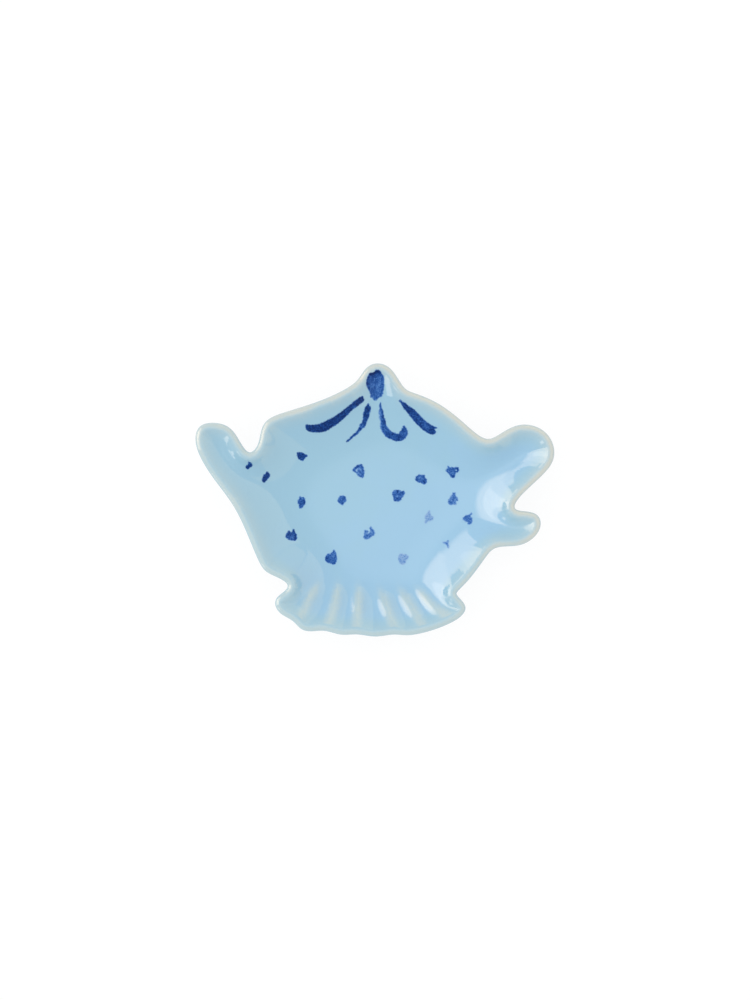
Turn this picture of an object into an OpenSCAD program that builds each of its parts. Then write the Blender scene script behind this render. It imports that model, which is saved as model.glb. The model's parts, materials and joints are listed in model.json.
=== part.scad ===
/* [Dish] */
// Width from the tip of the spout to the side of the handle
dish_w = 120; // [95:1:150]
// Depth from the tip of the knob to the edge of the fluted foot
dish_d = 91.3; // [75:0.1:114]
// Height of the lip above the table
dish_h = 14; // [12:0.5:18]
// Thickness of the glazed wall at the lip
lip_t = 3.2; // [2.6:0.1:3.6]
// Slope of the wall where it leaves the lip, in degrees
lip_lean = 48; // [40:1:56]
// Thickness of the clay under the well
floor_t = 3.2; // [2.4:0.1:4.2]

/* [Flutes] */
// Share of the wall's drop that a ridge between two flutes fills
ridge_share = 0.55; // [0.2:0.05:0.7]
// Share of a ridge that shows on the underside as well
ridge_under_share = 0.4; // [0:0.05:0.6]
// Half width of a ridge, in degrees about the point the flutes fan out from
ridge_angle = 3.6; // [2.6:0.1:4.6]

/* [Standing ring] */
// Length of the oval ring that the dish stands on
ring_l = 52; // [44:0.5:56]
// Width of the oval ring, front to back
ring_d = 40; // [34:0.5:44]
// Height of the ring
ring_h = 1.6; // [1:0.1:2.4]
// Width of the ring's bare standing face
ring_face_w = 2.6; // [1.8:0.1:4]
// How far each side of the ring leans in towards its standing face
ring_draft = 0.5; // [0.3:0.1:0.9]

/* [Glaze] */
// Thickness of the glaze coat
glaze_t = 0.3; // [0.2:0.05:0.45]
// Number of floor rings on the underside that the glaze reaches over
glaze_rings = 4; // [2:1:4]

/* [Brush marks] */
// Thickness of a cobalt brush mark
mark_t = 0.15; // [0.1:0.05:0.3]
// Clearance between a brush mark and the glaze
mark_gap = 0.35; // [0.3:0.05:0.5]
// Size of a dab against the one in the photograph
dab_share = 1; // [0.7:0.05:1.3]

/* [Hidden] */

// The outline of the lip as pixels of the photograph, from the tip of the knob to the left
rim_px = [
    [377, 362.7], [366, 367], [358, 378.5], [347, 387.3],
    [322, 399.5], [290, 410], [271, 416.8], [262, 426], [258.8, 440], [255, 448],
    [249.5, 452], [244.3, 448.5], [239, 440.5], [232.5, 430.5], [222.5, 423.8],
    [209, 422.5], [198.5, 426.5], [194.8, 439], [199.5, 456.5], [214, 480],
    [233.5, 506], [248, 537], [259.5, 564], [268, 573], [280, 578.8],
    [287.3, 584.8], [284.5, 590.7], [277.5, 596.3], [274.5, 604], [280, 614],
    [292.5, 620.5], [300, 629], [311, 631.7], [325, 630.5], [341, 635.5],
    [357, 634], [375, 637.3], [393, 634.2], [408, 635.8], [428, 631.6],
    [444, 626], [459, 618.2], [466, 608.5], [461.5, 600.3], [456.8, 594.5],
    [459, 590], [471, 577.5], [485, 558.5], [494, 548.5], [507, 546.3],
    [523, 544.5], [537, 534.5], [541, 522], [536, 513.5], [525, 511],
    [517, 509.6], [515, 505], [521, 495.5], [535, 482], [551, 465.5],
    [554.5, 450], [549, 435.5], [536, 426], [519, 424.3], [503, 431.5],
    [490.5, 438.4], [478, 434.5], [459, 418], [437, 402], [415, 392.7],
    [405, 388.3], [397, 376.5], [388.5, 366.3]
];
// The middle and the size of that outline in pixels, and the middle of the well
middle_px = [374.75, 499.75];
outline_px = [359.9, 273.9];
well_px = [372, 508];
px_mm = [dish_w / outline_px.x, dish_d / outline_px.y];
function place(p) = [(p.x - middle_px.x) * px_mm.x, (middle_px.y - p.y) * px_mm.y];

// Each lobe by the number of the rim point at its tip and how many points it reaches either way:
// knob, spout, left end of the foot, right end of the foot, thumb rest and handle
lobes = [[0, 3], [15, 5], [28, 3], [42, 2], [52, 4], [60.5, 4.5]];
rim_steps = 2;
lobe_steps = 6;
lip_steps = 4;
// How far each floor ring lies from the rim towards the standing ring, and then to the middle
floor_ring_shares = [0, 0.18, 0.38, 0.6, 0.82];
middle_ring_shares = [1, 0.55];

// The ridges between the flutes, in degrees from straight down, about the point they fan out from
ridge_angles = [-25, -14, -1, 12, 25, 34.5];
fan_px = [356, 492];
// How far from that point a ridge starts on the floor, and where it has its full height
ridge_start_px = 84;
ridge_full_px = 116;

// A closed curve through the points, as a uniform cubic spline
function around(list, i) = list[(i + len(list)) % len(list)];
function tightened(list) = [
    for (i = [0 : len(list) - 1])
        list[i] + (list[i] - (around(list, i - 1) + around(list, i + 1)) / 2) / 3
];
function spline(a, b, c, d, t) =
    (pow(1 - t, 3) * a + (3 * pow(t, 3) - 6 * t * t + 4) * b
    + (3 * t + 3 * t * t - 3 * pow(t, 3) + 1) * c + pow(t, 3) * d) / 6;
function smooth_loop(list, steps) = let (p = tightened(list)) [
    for (i = [0 : len(p) - 1])
        for (j = [0 : steps - 1])
            spline(around(p, i - 1), p[i], around(p, i + 1), around(p, i + 2), j / steps)
];

outline = smooth_loop([for (p = rim_px) place(p)], rim_steps);
outline_n = len(outline);
function inward(i) =
    let (along = around(outline, i + 1) - around(outline, i - 1))
    [-along.y, along.x] / norm(along);
edge_lengths = [
    for (i = [0 : outline_n - 1]) norm(around(outline, i + 1) - around(outline, i - 1)) / 2
];

// Heights of the glazed surface
lip_r = lip_t / 2;
lip_centre_z = dish_h - lip_r;
lip_reach = lip_r * (1 + sin(lip_lean));
lip_foot_z = lip_centre_z + lip_r * cos(lip_lean);
well_drop = lip_foot_z - ring_h - floor_t - glaze_t;
wall_w = 2 * well_drop / tan(lip_lean);

// How far a place lies from the rim, easing off in the narrow lobes as a poured wall does
function inset(p) =
    pow(PI / 2 / ([for (s = outline) 1 / pow(norm(p - s), 4)] * edge_lengths), 1 / 3);
function eased(t) = let (u = min(1, max(0, t))) u * u * (3 - 2 * u);
function ridge(p) =
    let (
        d = [(p.x - place(fan_px).x) / px_mm.x, (p.y - place(fan_px).y) / px_mm.y],
        turn = atan2(d.x, -d.y),
        rise = eased((norm(d) - ridge_start_px) / (ridge_full_px - ridge_start_px)),
        near = [for (a = ridge_angles) exp(-pow((turn - a) / ridge_angle, 2))]
    )
    rise * ridge_share * max(near);

// A place on the dish: x, y, the clay's upper height, its lower height and 1 / cos(slope)
function place_at(p, drop_share, fill, slope) =
    let (
        steep = sqrt(1 + slope * slope),
        top = lip_foot_z - glaze_t * steep - well_drop * drop_share * (1 - fill),
        smooth = lip_foot_z - glaze_t * steep
            - well_drop * drop_share * (1 - fill * ridge_under_share),
        lip_clay = lip_t - 2 * glaze_t,
        wall = (lip_clay + (floor_t - lip_clay) * drop_share) * steep
    )
    [p.x, p.y, top, smooth - wall, steep];
function lip_place(i) =
    place_at(outline[i] + inward(i) * lip_reach, 0, 0, tan(lip_lean));
function inner_place(p) =
    let (
        q = min(1, max(0, (inset(p) - lip_reach) / wall_w))
    )
    place_at(p, 1 - (1 - q) * (1 - q), ridge(p), tan(lip_lean) * (1 - q));
function top(v, coat) = [v[0], v[1], v[2] + coat * v[4]];
function under(v, coat) = [v[0], v[1], v[3] - coat * v[4]];

// Places along the lip's inner edge, across each lobe, and in rings over the floor
lip_places = [for (i = [0 : outline_n - 1]) lip_place(i)];
function across(a, b) = [
    a,
    for (j = [1 : lobe_steps - 1])
        inner_place([a.x, a.y] + ([b.x, b.y] - [a.x, a.y]) * j / lobe_steps),
    b
];
lobe_rows = [
    for (lobe = lobes) [
        for (i = [1 : lobe[1] * rim_steps])
            across(
                around(lip_places, lobe[0] * rim_steps - i),
                around(lip_places, lobe[0] * rim_steps + i)
            )
    ]
];
floor_edge = [
    for (n = [0 : len(lobes) - 1])
        let (
            last_row = lobe_rows[n][len(lobe_rows[n]) - 1],
            next = around(lobes, n + 1),
            from = (lobes[n][0] + lobes[n][1]) * rim_steps,
            to = (next[0] - next[1]) * rim_steps + (n == len(lobes) - 1 ? outline_n : 0)
        )
        each concat(
            [for (j = [1 : lobe_steps - 1]) last_row[j]],
            [for (i = [from : to]) around(lip_places, i)]
        )
];
well_middle = place(well_px);
// On the ray from the well's middle to each place of that edge: the standing ring's oval,
// drawn in by some width, and the places of each floor ring
function oval_reach(ray, drawn_in) =
    1 / norm([ray.x / (ring_l / 2 - drawn_in), ray.y / (ring_d / 2 - drawn_in)]);
rays = [for (v = floor_edge) ([v.x, v.y] - well_middle) / norm([v.x, v.y] - well_middle)];
edge_reach = [for (v = floor_edge) norm([v.x, v.y] - well_middle)];
function oval_places(drawn_in, share) = [
    for (ray = rays) inner_place(well_middle + ray * oval_reach(ray, drawn_in) * share)
];
function standing(places) = [for (v = places) [v[0], v[1], v[2], 0, v[4]]];
floor_rings = concat(
    [
        for (share = floor_ring_shares)
            share == 0 ? floor_edge : [
                for (i = [0 : len(rays) - 1])
                    let (
                        reach = edge_reach[i] * (1 - share) + oval_reach(rays[i], 0) * share
                    )
                    inner_place(well_middle + rays[i] * reach)
            ]
    ],
    [
        oval_places(0, 1),
        standing(oval_places(ring_draft, 1)),
        standing(oval_places(ring_draft + ring_face_w, 1))
    ],
    [for (share = middle_ring_shares) oval_places(2 * ring_draft + ring_face_w, share)]
);

// Cells are triangles of places, counter-clockwise from above
function pair(a, b, c, d) = [[a, b, c], [a, c, d]];
function between_rings(outer, inner) = [
    for (i = [0 : len(outer) - 1])
        each pair(outer[i], around(outer, i + 1), around(inner, i + 1), inner[i])
];
lobe_cells = [
    for (n = [0 : len(lobes) - 1])
        let (rows = lobe_rows[n], tip = lip_places[lobes[n][0] * rim_steps])
        each concat(
            [for (j = [0 : lobe_steps - 1]) [tip, rows[0][j + 1], rows[0][j]]],
            [
                for (i = [0 : len(rows) - 2])
                    for (j = [0 : lobe_steps - 1])
                        each pair(rows[i][j], rows[i][j + 1], rows[i + 1][j + 1], rows[i + 1][j])
            ]
        )
];
function floor_cells(rings) = [
    for (r = [0 : rings - 1]) each between_rings(floor_rings[r], floor_rings[r + 1])
];
last_ring = floor_rings[len(floor_rings) - 1];
middle_cells = [
    for (i = [0 : len(last_ring) - 1])
        [last_ring[i], around(last_ring, i + 1), inner_place(well_middle)]
];
all_cells = concat(lobe_cells, floor_cells(len(floor_rings) - 1), middle_cells);
glazed_under_cells = concat(lobe_cells, floor_cells(glaze_rings));

// The rounded lip, from its inner edge over the top to the underside, as rings of points
function lip_point(i, step, coat) =
    let (
        turn = 90 - lip_lean + 180 * step / lip_steps,
        r = lip_r - glaze_t + coat,
        p = outline[i] + inward(i) * (lip_r + r * cos(turn))
    )
    [p.x, p.y, lip_centre_z + r * sin(turn)];
function lip_rings(coat) = [
    [for (v = lip_places) top(v, coat)],
    for (step = [(coat == 0 ? 0 : 1) : lip_steps])
        [for (i = [0 : outline_n - 1]) lip_point(i, step, coat)],
    [for (v = lip_places) under(v, coat)]
];
function lip_faces(coat) = let (rings = lip_rings(coat)) [
    for (r = [0 : len(rings) - 2])
        each between_rings(rings[r], rings[r + 1])
];
function top_faces(cells, coat) = [
    for (c = cells) [top(c[2], coat), top(c[1], coat), top(c[0], coat)]
];
function under_faces(cells, coat) = [
    for (c = cells) [under(c[0], coat), under(c[1], coat), under(c[2], coat)]
];
function turned(faces) = [for (f = faces) [f[2], f[1], f[0]]];

module skin(faces) {
    polyhedron(
        points = [for (f = faces) each f],
        faces = [for (i = [0 : len(faces) - 1]) [3 * i, 3 * i + 1, 3 * i + 2]]
    );
}

module clay_body() {
    color("#d9d4c7")
        skin(concat(
            top_faces(all_cells, 0),
            lip_faces(0),
            under_faces(all_cells, 0)
        ));
}

module glaze_coat() {
    outer_edge = [for (v = floor_rings[glaze_rings]) under(v, glaze_t)];
    inner_edge = [for (v = floor_rings[glaze_rings]) under(v, 0)];
    color("#a5cadf")
        skin(concat(
            top_faces(all_cells, glaze_t),
            lip_faces(glaze_t),
            under_faces(glazed_under_cells, glaze_t),
            between_rings(outer_edge, inner_edge),
            turned(concat(
                top_faces(all_cells, 0),
                lip_faces(0),
                under_faces(glazed_under_cells, 0)
            ))
        ));
}

// A brush mark is a closed loop of an even number of plan points, counter-clockwise,
// bridged from side to side, and it follows the glaze that it lies on
function mark_low(p) = top(inner_place(p), glaze_t) + [0, 0, mark_gap];
function bridged(list) = let (n = len(list)) [
    for (i = [0 : n / 2 - 2])
        each pair(list[i], list[i + 1], list[n - 2 - i], list[n - 1 - i])
];
function mark_faces(loop) =
    let (
        low = [for (p = loop) mark_low(p)],
        high = [for (p = low) p + [0, 0, mark_t]]
    )
    concat(
        turned(bridged(high)),
        bridged(low),
        turned(between_rings(low, high))
    );
module mark(loop) {
    color("#2a4f96") skin(mark_faces(loop));
}

// A stroke by its middle line in pixels, each point with half the brush's width there
function stroke_side(points, side) = [
    for (i = [0 : len(points) - 1])
        let (
            last = len(points) - 1,
            from = place(points[max(0, i - 1)]),
            to = place(points[min(last, i + 1)]),
            along = (to - from) / norm(to - from)
        )
        place(points[i]) + side * points[i][2] * px_mm.x * [along.y, -along.x]
];
function backwards(list) = [for (i = [len(list) - 1 : -1 : 0]) list[i]];
function stroke_loop(points) = concat(
    stroke_side(points, 1),
    backwards(stroke_side(points, -1))
);
long_left_px = [
    [306.3, 427.3, 2.4], [311, 428.4, 3.6], [319, 427.6, 4.4], [328, 423.6, 4.5],
    [337, 417.3, 4.2], [346, 409.5, 3.5], [354.5, 402.3, 2.9], [363, 397, 2.3]
];
short_left_px = [
    [346.4, 441, 0.5], [351, 436.3, 1], [356, 431.2, 1.6], [360.5, 425.5, 2.3],
    [364, 417.5, 2.8], [366.8, 410, 2.9], [368.6, 403.6, 1.4]
];
hooked_px = [
    [380, 402.5, 0.5], [380.6, 410, 1.3], [382, 418.5, 2], [384.4, 426.5, 2.5],
    [388.5, 432.6, 2.8], [394, 436.2, 3], [399.6, 436.8, 3.1], [403.6, 433.8, 3],
    [405.4, 429.5, 2.4], [405, 425.5, 0.9]
];
long_right_px = [
    [399.5, 400.2, 0.6], [404.5, 404, 1.6], [410.5, 410, 2.7], [416, 416.7, 3.4],
    [421.8, 423.2, 3.8], [428, 428.2, 3.9], [432.5, 430, 3.4], [435.6, 430.6, 2.4]
];
module long_left_stroke() mark(stroke_loop(long_left_px));
module short_left_stroke() mark(stroke_loop(short_left_px));
module hooked_stroke() mark(stroke_loop(hooked_px));
module long_right_stroke() mark(stroke_loop(long_right_px));

// The blot on the knob, in pixels down its left side and up its right
knob_mark_px = [
    [374, 370], [369.3, 373], [366.6, 380], [367, 387], [369.8, 393.5], [374.6, 399.3],
    [377, 399], [380.6, 395], [383, 389], [384, 381.5], [382.8, 374.5], [379, 369.6]
];
module knob_mark() mark([for (p = knob_mark_px) place(p)]);

// The dabs: middle in pixels, half length and half width in pixels, and lean in degrees
dabs_px = [
    [248, 465, 3.8, 2.3, 50], [265.2, 476.5, 5, 3, 55], [301.3, 455.8, 5, 3.6, -15],
    [359.5, 470, 6.4, 4.8, -40], [421.7, 478.7, 5.5, 4.4, -30], [452.5, 471, 6.4, 4.6, -20],
    [301, 502, 5.6, 3.7, 90], [341.8, 499.3, 4.6, 4, 80], [397.8, 495, 6, 5.5, 60],
    [453.8, 499.5, 6.2, 4.6, 75], [429, 517, 5.5, 3.6, 85], [468.2, 519, 5.6, 4.2, 60],
    [291, 535, 5.6, 5, 0], [368.5, 533, 6, 5, 45], [447, 543.3, 3.5, 2.2, -20],
    [331.2, 558.2, 6.4, 5.4, 60], [403, 559, 5.2, 5, 90]
];
dab_points = 10;
dab_wave_share = 0.13;
function dab_loop(dab, n) = [
    for (i = [0.5 : 1 : dab_points])
        let (
            turn = 360 * i / dab_points,
            wave = 1 + dab_wave_share * sin(3 * turn + 70 * n),
            p = dab_share * wave * [dab[2] * cos(turn), dab[3] * sin(turn)],
            lean = dab[4]
        )
        place(dab) + px_mm.x * [
            p.x * cos(lean) - p.y * sin(lean),
            p.x * sin(lean) + p.y * cos(lean)
        ]
];
module scattered_dabs() {
    for (n = [0 : len(dabs_px) - 1])
        mark(dab_loop(dabs_px[n], n));
}

clay_body();
glaze_coat();
knob_mark();
long_left_stroke();
short_left_stroke();
hooked_stroke();
long_right_stroke();
scattered_dabs();
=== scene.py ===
"""The looks of a glazed, teapot-shaped tea bag rest, built around its solids."""

import json
import logging
import math
from collections.abc import Iterator
from dataclasses import dataclass
from enum import Enum

import bpy
import numpy as np
from mathutils import Matrix, Vector

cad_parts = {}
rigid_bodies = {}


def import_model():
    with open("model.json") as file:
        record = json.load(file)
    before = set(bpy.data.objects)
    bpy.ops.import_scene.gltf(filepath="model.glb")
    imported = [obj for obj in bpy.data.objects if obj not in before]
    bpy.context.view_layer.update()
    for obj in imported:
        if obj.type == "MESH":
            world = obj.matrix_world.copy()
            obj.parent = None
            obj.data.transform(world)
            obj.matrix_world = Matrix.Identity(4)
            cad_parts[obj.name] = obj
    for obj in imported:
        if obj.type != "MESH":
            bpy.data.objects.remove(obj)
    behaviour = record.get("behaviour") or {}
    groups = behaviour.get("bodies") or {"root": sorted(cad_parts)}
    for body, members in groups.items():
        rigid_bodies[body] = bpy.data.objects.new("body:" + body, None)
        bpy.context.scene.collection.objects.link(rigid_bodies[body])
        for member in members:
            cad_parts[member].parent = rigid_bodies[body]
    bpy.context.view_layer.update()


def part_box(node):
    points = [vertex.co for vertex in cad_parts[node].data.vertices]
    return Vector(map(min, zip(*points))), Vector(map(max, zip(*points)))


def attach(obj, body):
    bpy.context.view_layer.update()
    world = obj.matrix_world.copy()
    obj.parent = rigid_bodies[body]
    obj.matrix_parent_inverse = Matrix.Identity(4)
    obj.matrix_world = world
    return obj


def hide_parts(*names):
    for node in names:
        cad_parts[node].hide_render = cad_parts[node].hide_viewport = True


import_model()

LOG = logging.getLogger("tea_bag_rest")
MM = 0.001
# How many places are measured against the whole rim at a time
BATCH = 4000
# Keep a quotient finite: a length, and a square distance on the wall's own edge
TINY, NEAR_EDGE = 1e-9, 1e-6

# The lip's outline as pixels of the photograph, from the tip of the knob to the left
RIM_PX = [
    (377, 362.7), (366, 367), (358, 378.5), (347, 387.3), (322, 399.5), (290, 410),
    (271, 416.8), (262, 426), (258.8, 440), (255, 448), (249.5, 452), (244.3, 448.5),
    (239, 440.5), (232.5, 430.5), (222.5, 423.8), (209, 422.5), (198.5, 426.5),
    (194.8, 439), (199.5, 456.5), (214, 480), (233.5, 506), (248, 537), (259.5, 564),
    (268, 573), (280, 578.8), (287.3, 584.8), (284.5, 590.7), (277.5, 596.3),
    (274.5, 604), (280, 614), (292.5, 620.5), (300, 629), (311, 631.7), (325, 630.5),
    (341, 635.5), (357, 634), (375, 637.3), (393, 634.2), (408, 635.8), (428, 631.6),
    (444, 626), (459, 618.2), (466, 608.5), (461.5, 600.3), (456.8, 594.5), (459, 590),
    (471, 577.5), (485, 558.5), (494, 548.5), (507, 546.3), (523, 544.5), (537, 534.5),
    (541, 522), (536, 513.5), (525, 511), (517, 509.6), (515, 505), (521, 495.5),
    (535, 482), (551, 465.5), (554.5, 450), (549, 435.5), (536, 426), (519, 424.3),
    (503, 431.5), (490.5, 438.4), (478, 434.5), (459, 418), (437, 402), (415, 392.7),
    (405, 388.3), (397, 376.5), (388.5, 366.3),
]
# Each lobe by the number of the rim point at its tip and how many points it reaches
LOBES = [(0, 3), (15, 5), (28, 3), (42, 2), (52, 4), (60.5, 4.5)]
WELL_PX = (372, 508)

# Crests between the flutes, from the well out to the lip
CRESTS_PX = [
    [(322, 576), (315, 588), (307, 601), (302, 612), (296, 621)],
    [(338, 574), (336.5, 588), (334, 601), (331, 613), (326, 627)],
    [(357, 574), (357.5, 590), (357, 604), (356, 618), (355, 631)],
    [(376, 580), (381, 595), (385.5, 607), (390, 619), (393.5, 631)],
    [(395, 580), (402, 594), (409.5, 607), (417, 618), (424, 628.5)],
    [(411, 580), (420, 592), (430, 604), (441, 613), (454, 620)],
]


def smoothed(t: np.ndarray) -> np.ndarray:
    """Returns t held to 0..1 and eased at both ends."""
    u = np.clip(t, 0.0, 1.0)
    return u * u * (3 - 2 * u)


def smooth_loop(points: np.ndarray, steps: int) -> np.ndarray:
    """A closed smooth curve along points.

    Args:
        points: The points in order, as rows.
        steps: How many places to make from one point to the next.

    Returns:
        The places along the curve, as rows.
    """
    tight = points + (points - (np.roll(points, 1, 0) + np.roll(points, -1, 0)) / 2) / 3
    a, b = np.roll(tight, 1, 0), tight
    c, d = np.roll(tight, -1, 0), np.roll(tight, -2, 0)
    rows = []
    for step in range(steps):
        t = step / steps
        rows.append(
            ((1 - t) ** 3 * a + (3 * t**3 - 6 * t * t + 4) * b
             + (3 * t + 3 * t * t - 3 * t**3 + 1) * c + t**3 * d) / 6
        )
    return np.stack(rows, 1).reshape(-1, 2)


def smooth_line(points: np.ndarray, steps: int) -> np.ndarray:
    """An open curve through points, which may carry a width as a third value.

    Args:
        points: The points in order, as rows.
        steps: How many places to make from one point to the next.

    Returns:
        The places along the curve, as rows.
    """
    ends = np.vstack([2 * points[0] - points[1], points, 2 * points[-1] - points[-2]])
    rows = []
    for i in range(1, len(ends) - 2):
        a, b, c, d = ends[i - 1 : i + 3]
        for t in np.arange(steps) / steps:
            rows.append(
                0.5 * (2 * b + (c - a) * t + (2 * a - 5 * b + 4 * c - d) * t * t
                       + (3 * b - a - 3 * c + d) * t**3)
            )
    return np.array([*rows, points[-1]])


def off_line(places: np.ndarray, line: np.ndarray) -> tuple:
    """How far places lie from a line of straight pieces.

    Args:
        places: The places, as rows.
        line: The line's corners, as rows.

    Returns:
        The distance of each place, and where along the line its nearest point is, 0 to 1.
    """
    start, way = line[:-1], np.diff(line, axis=0)
    gap = places[:, None] - start[None]
    share = np.clip((gap * way).sum(2) / (way**2).sum(1), 0, 1)
    far = np.linalg.norm(gap - share[..., None] * way, axis=2)
    best = far.argmin(1)
    rows = np.arange(len(places))
    return far[rows, best], (best + share[rows, best]) / len(start)


@dataclass(frozen=True)
class DishSizes:
    """The named sizes of the dish, in millimetres and degrees.

    They are those of its solids but for lip_lean and ridge_share, which are lower here
    so that the wall shows the photograph's highlights.
    """

    lip_t: float = 3.2
    lip_lean: float = 43.0
    floor_t: float = 3.2
    ring_l: float = 52.0
    ring_d: float = 40.0
    ring_h: float = 1.6
    ring_face_w: float = 2.6
    ring_draft: float = 0.5
    glaze_t: float = 0.3
    glaze_end_share: float = 0.82
    ridge_share: float = 0.38
    ridge_under_share: float = 0.4

    @property
    def lip_r(self) -> float:
        """Radius of the glazed lip."""
        return self.lip_t / 2

    @property
    def lip_reach(self) -> float:
        """Plan distance from the rim to where the lip's round ends."""
        return self.lip_r * (1 + math.sin(math.radians(self.lip_lean)))


@dataclass(frozen=True)
class RidgeForm:
    """How a ridge between two flutes stands.

    Attributes:
        left: Its half width to the left of its line, in millimetres.
        right: The same to the right.
        near: How many times that it is at the end of its line in the well.
        spread: How much this factor grows by up to the lip.
        rise: The share of its line over which it rises.
        top_px: The row of the photograph above which there is none.
    """

    left: float = 1.2
    right: float = 1.6
    near: float = 1.3
    spread: float = 0.7
    rise: float = 0.5
    top_px: float = 545.0


class Plan:
    """The dish seen from above: its outline, and what lies where inside it."""

    def __init__(self, sizes: DishSizes, steps: int = 8) -> None:
        """Places the outline so that it fills the box of the glaze coat.

        Args:
            sizes: The dish's sizes.
            steps: Places along the rim from one point of its outline to the next.
        """
        self.sizes = sizes
        self.steps = steps
        self.ridge = RidgeForm()
        low, high = (np.array(c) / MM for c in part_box("glaze_coat"))
        raw = smooth_loop(np.array(RIM_PX) * [1, -1], steps)
        self.scale = (high[:2] - low[:2]) / (raw.max(0) - raw.min(0))
        self.shift = low[:2] - raw.min(0) * self.scale
        self.rim = raw * self.scale + self.shift
        self.top_z = float(high[2])
        along = np.roll(self.rim, -1, 0) - np.roll(self.rim, 1, 0)
        self.lengths = np.linalg.norm(along, axis=1) / 2
        unit = along / np.linalg.norm(along, axis=1)[:, None]
        self.inward = np.stack([-unit[:, 1], unit[:, 0]], 1)
        self.edge = self.rim + self.inward * sizes.lip_reach
        self.edge_excess = self._inset(self.edge) - sizes.lip_reach
        self.well = self.place(WELL_PX)
        self.crests = [smooth_line(self.place(c), 10) for c in CRESTS_PX]

    @property
    def px(self) -> float:
        """Millimetres in one pixel of the photograph."""
        return float(self.scale.mean())

    def place(self, pixels: object) -> np.ndarray:
        """Turns pixels of the photograph into plan millimetres."""
        return np.array(pixels, float) * [1, -1] * self.scale + self.shift

    def _squares(self, places: np.ndarray, line: np.ndarray) -> Iterator:
        """Measures places against the corners of a line, a batch at a time.

        Args:
            places: Plan places in millimetres, as rows.
            line: The line's corners, as rows.

        Yields:
            The batch, as a slice, and the squared distances in it.
        """
        for start in range(0, len(places), BATCH):
            batch = slice(start, start + BATCH)
            yield batch, ((places[batch, None, :] - line[None]) ** 2).sum(2)

    def _inset(self, places: np.ndarray) -> np.ndarray:
        """How far each place lies from the whole rim, easing off in narrow lobes."""
        out = np.empty(len(places))
        for batch, square in self._squares(places, self.rim):
            out[batch] = (math.pi / 2 / (self.lengths / square**2).sum(1)) ** (1 / 3)
        return out

    def inset(self, places: np.ndarray) -> np.ndarray:
        """That distance, put right near the lip so that the wall starts at its edge.

        Args:
            places: Plan places in millimetres, as rows.

        Returns:
            The distance from the rim at each place, in millimetres.
        """
        out = self._inset(places)
        for batch, square in self._squares(places, self.edge):
            weight = self.lengths / (square + NEAR_EDGE) ** 2
            out[batch] -= (weight * self.edge_excess).sum(1) / weight.sum(1)
        return out

    def crest(self, places: np.ndarray, start: float = 0.1) -> np.ndarray:
        """How high each place lies on a ridge between two flutes.

        Args:
            places: Plan places in millimetres, as rows.
            start: How far along its line, 0 to 1, a ridge starts to rise.

        Returns:
            0 away from the ridges, and 1 on a crest at its full height.
        """
        form = self.ridge
        best = np.zeros(len(places))
        near = places[:, 1] < self.place((0, form.top_px))[1]
        p = places[near]
        for line in self.crests:
            gap, along = off_line(p, line)
            right = p[:, 0] > np.interp(p[:, 1], line[::-1, 1], line[::-1, 0])
            side = np.where(right, form.right, form.left)
            width = side * (form.near + form.spread * along)
            rise = smoothed((along - start) / form.rise)
            best[near] = np.maximum(best[near], rise * np.exp(-((gap / width) ** 2)))
        return best

    def lip_gap(self, places: np.ndarray) -> np.ndarray:
        """The true plan distance of each place from the rim, in millimetres."""
        return off_line(places, np.vstack([self.rim, self.rim[:1]]))[0]


@dataclass
class Sheet:
    """A mesh in plan, before the poured shape lifts it.

    Attributes:
        places: Plan places in millimetres, as rows.
        faces: Corner numbers of each face, counter-clockwise from above.
    """

    places: np.ndarray
    faces: list


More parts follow.
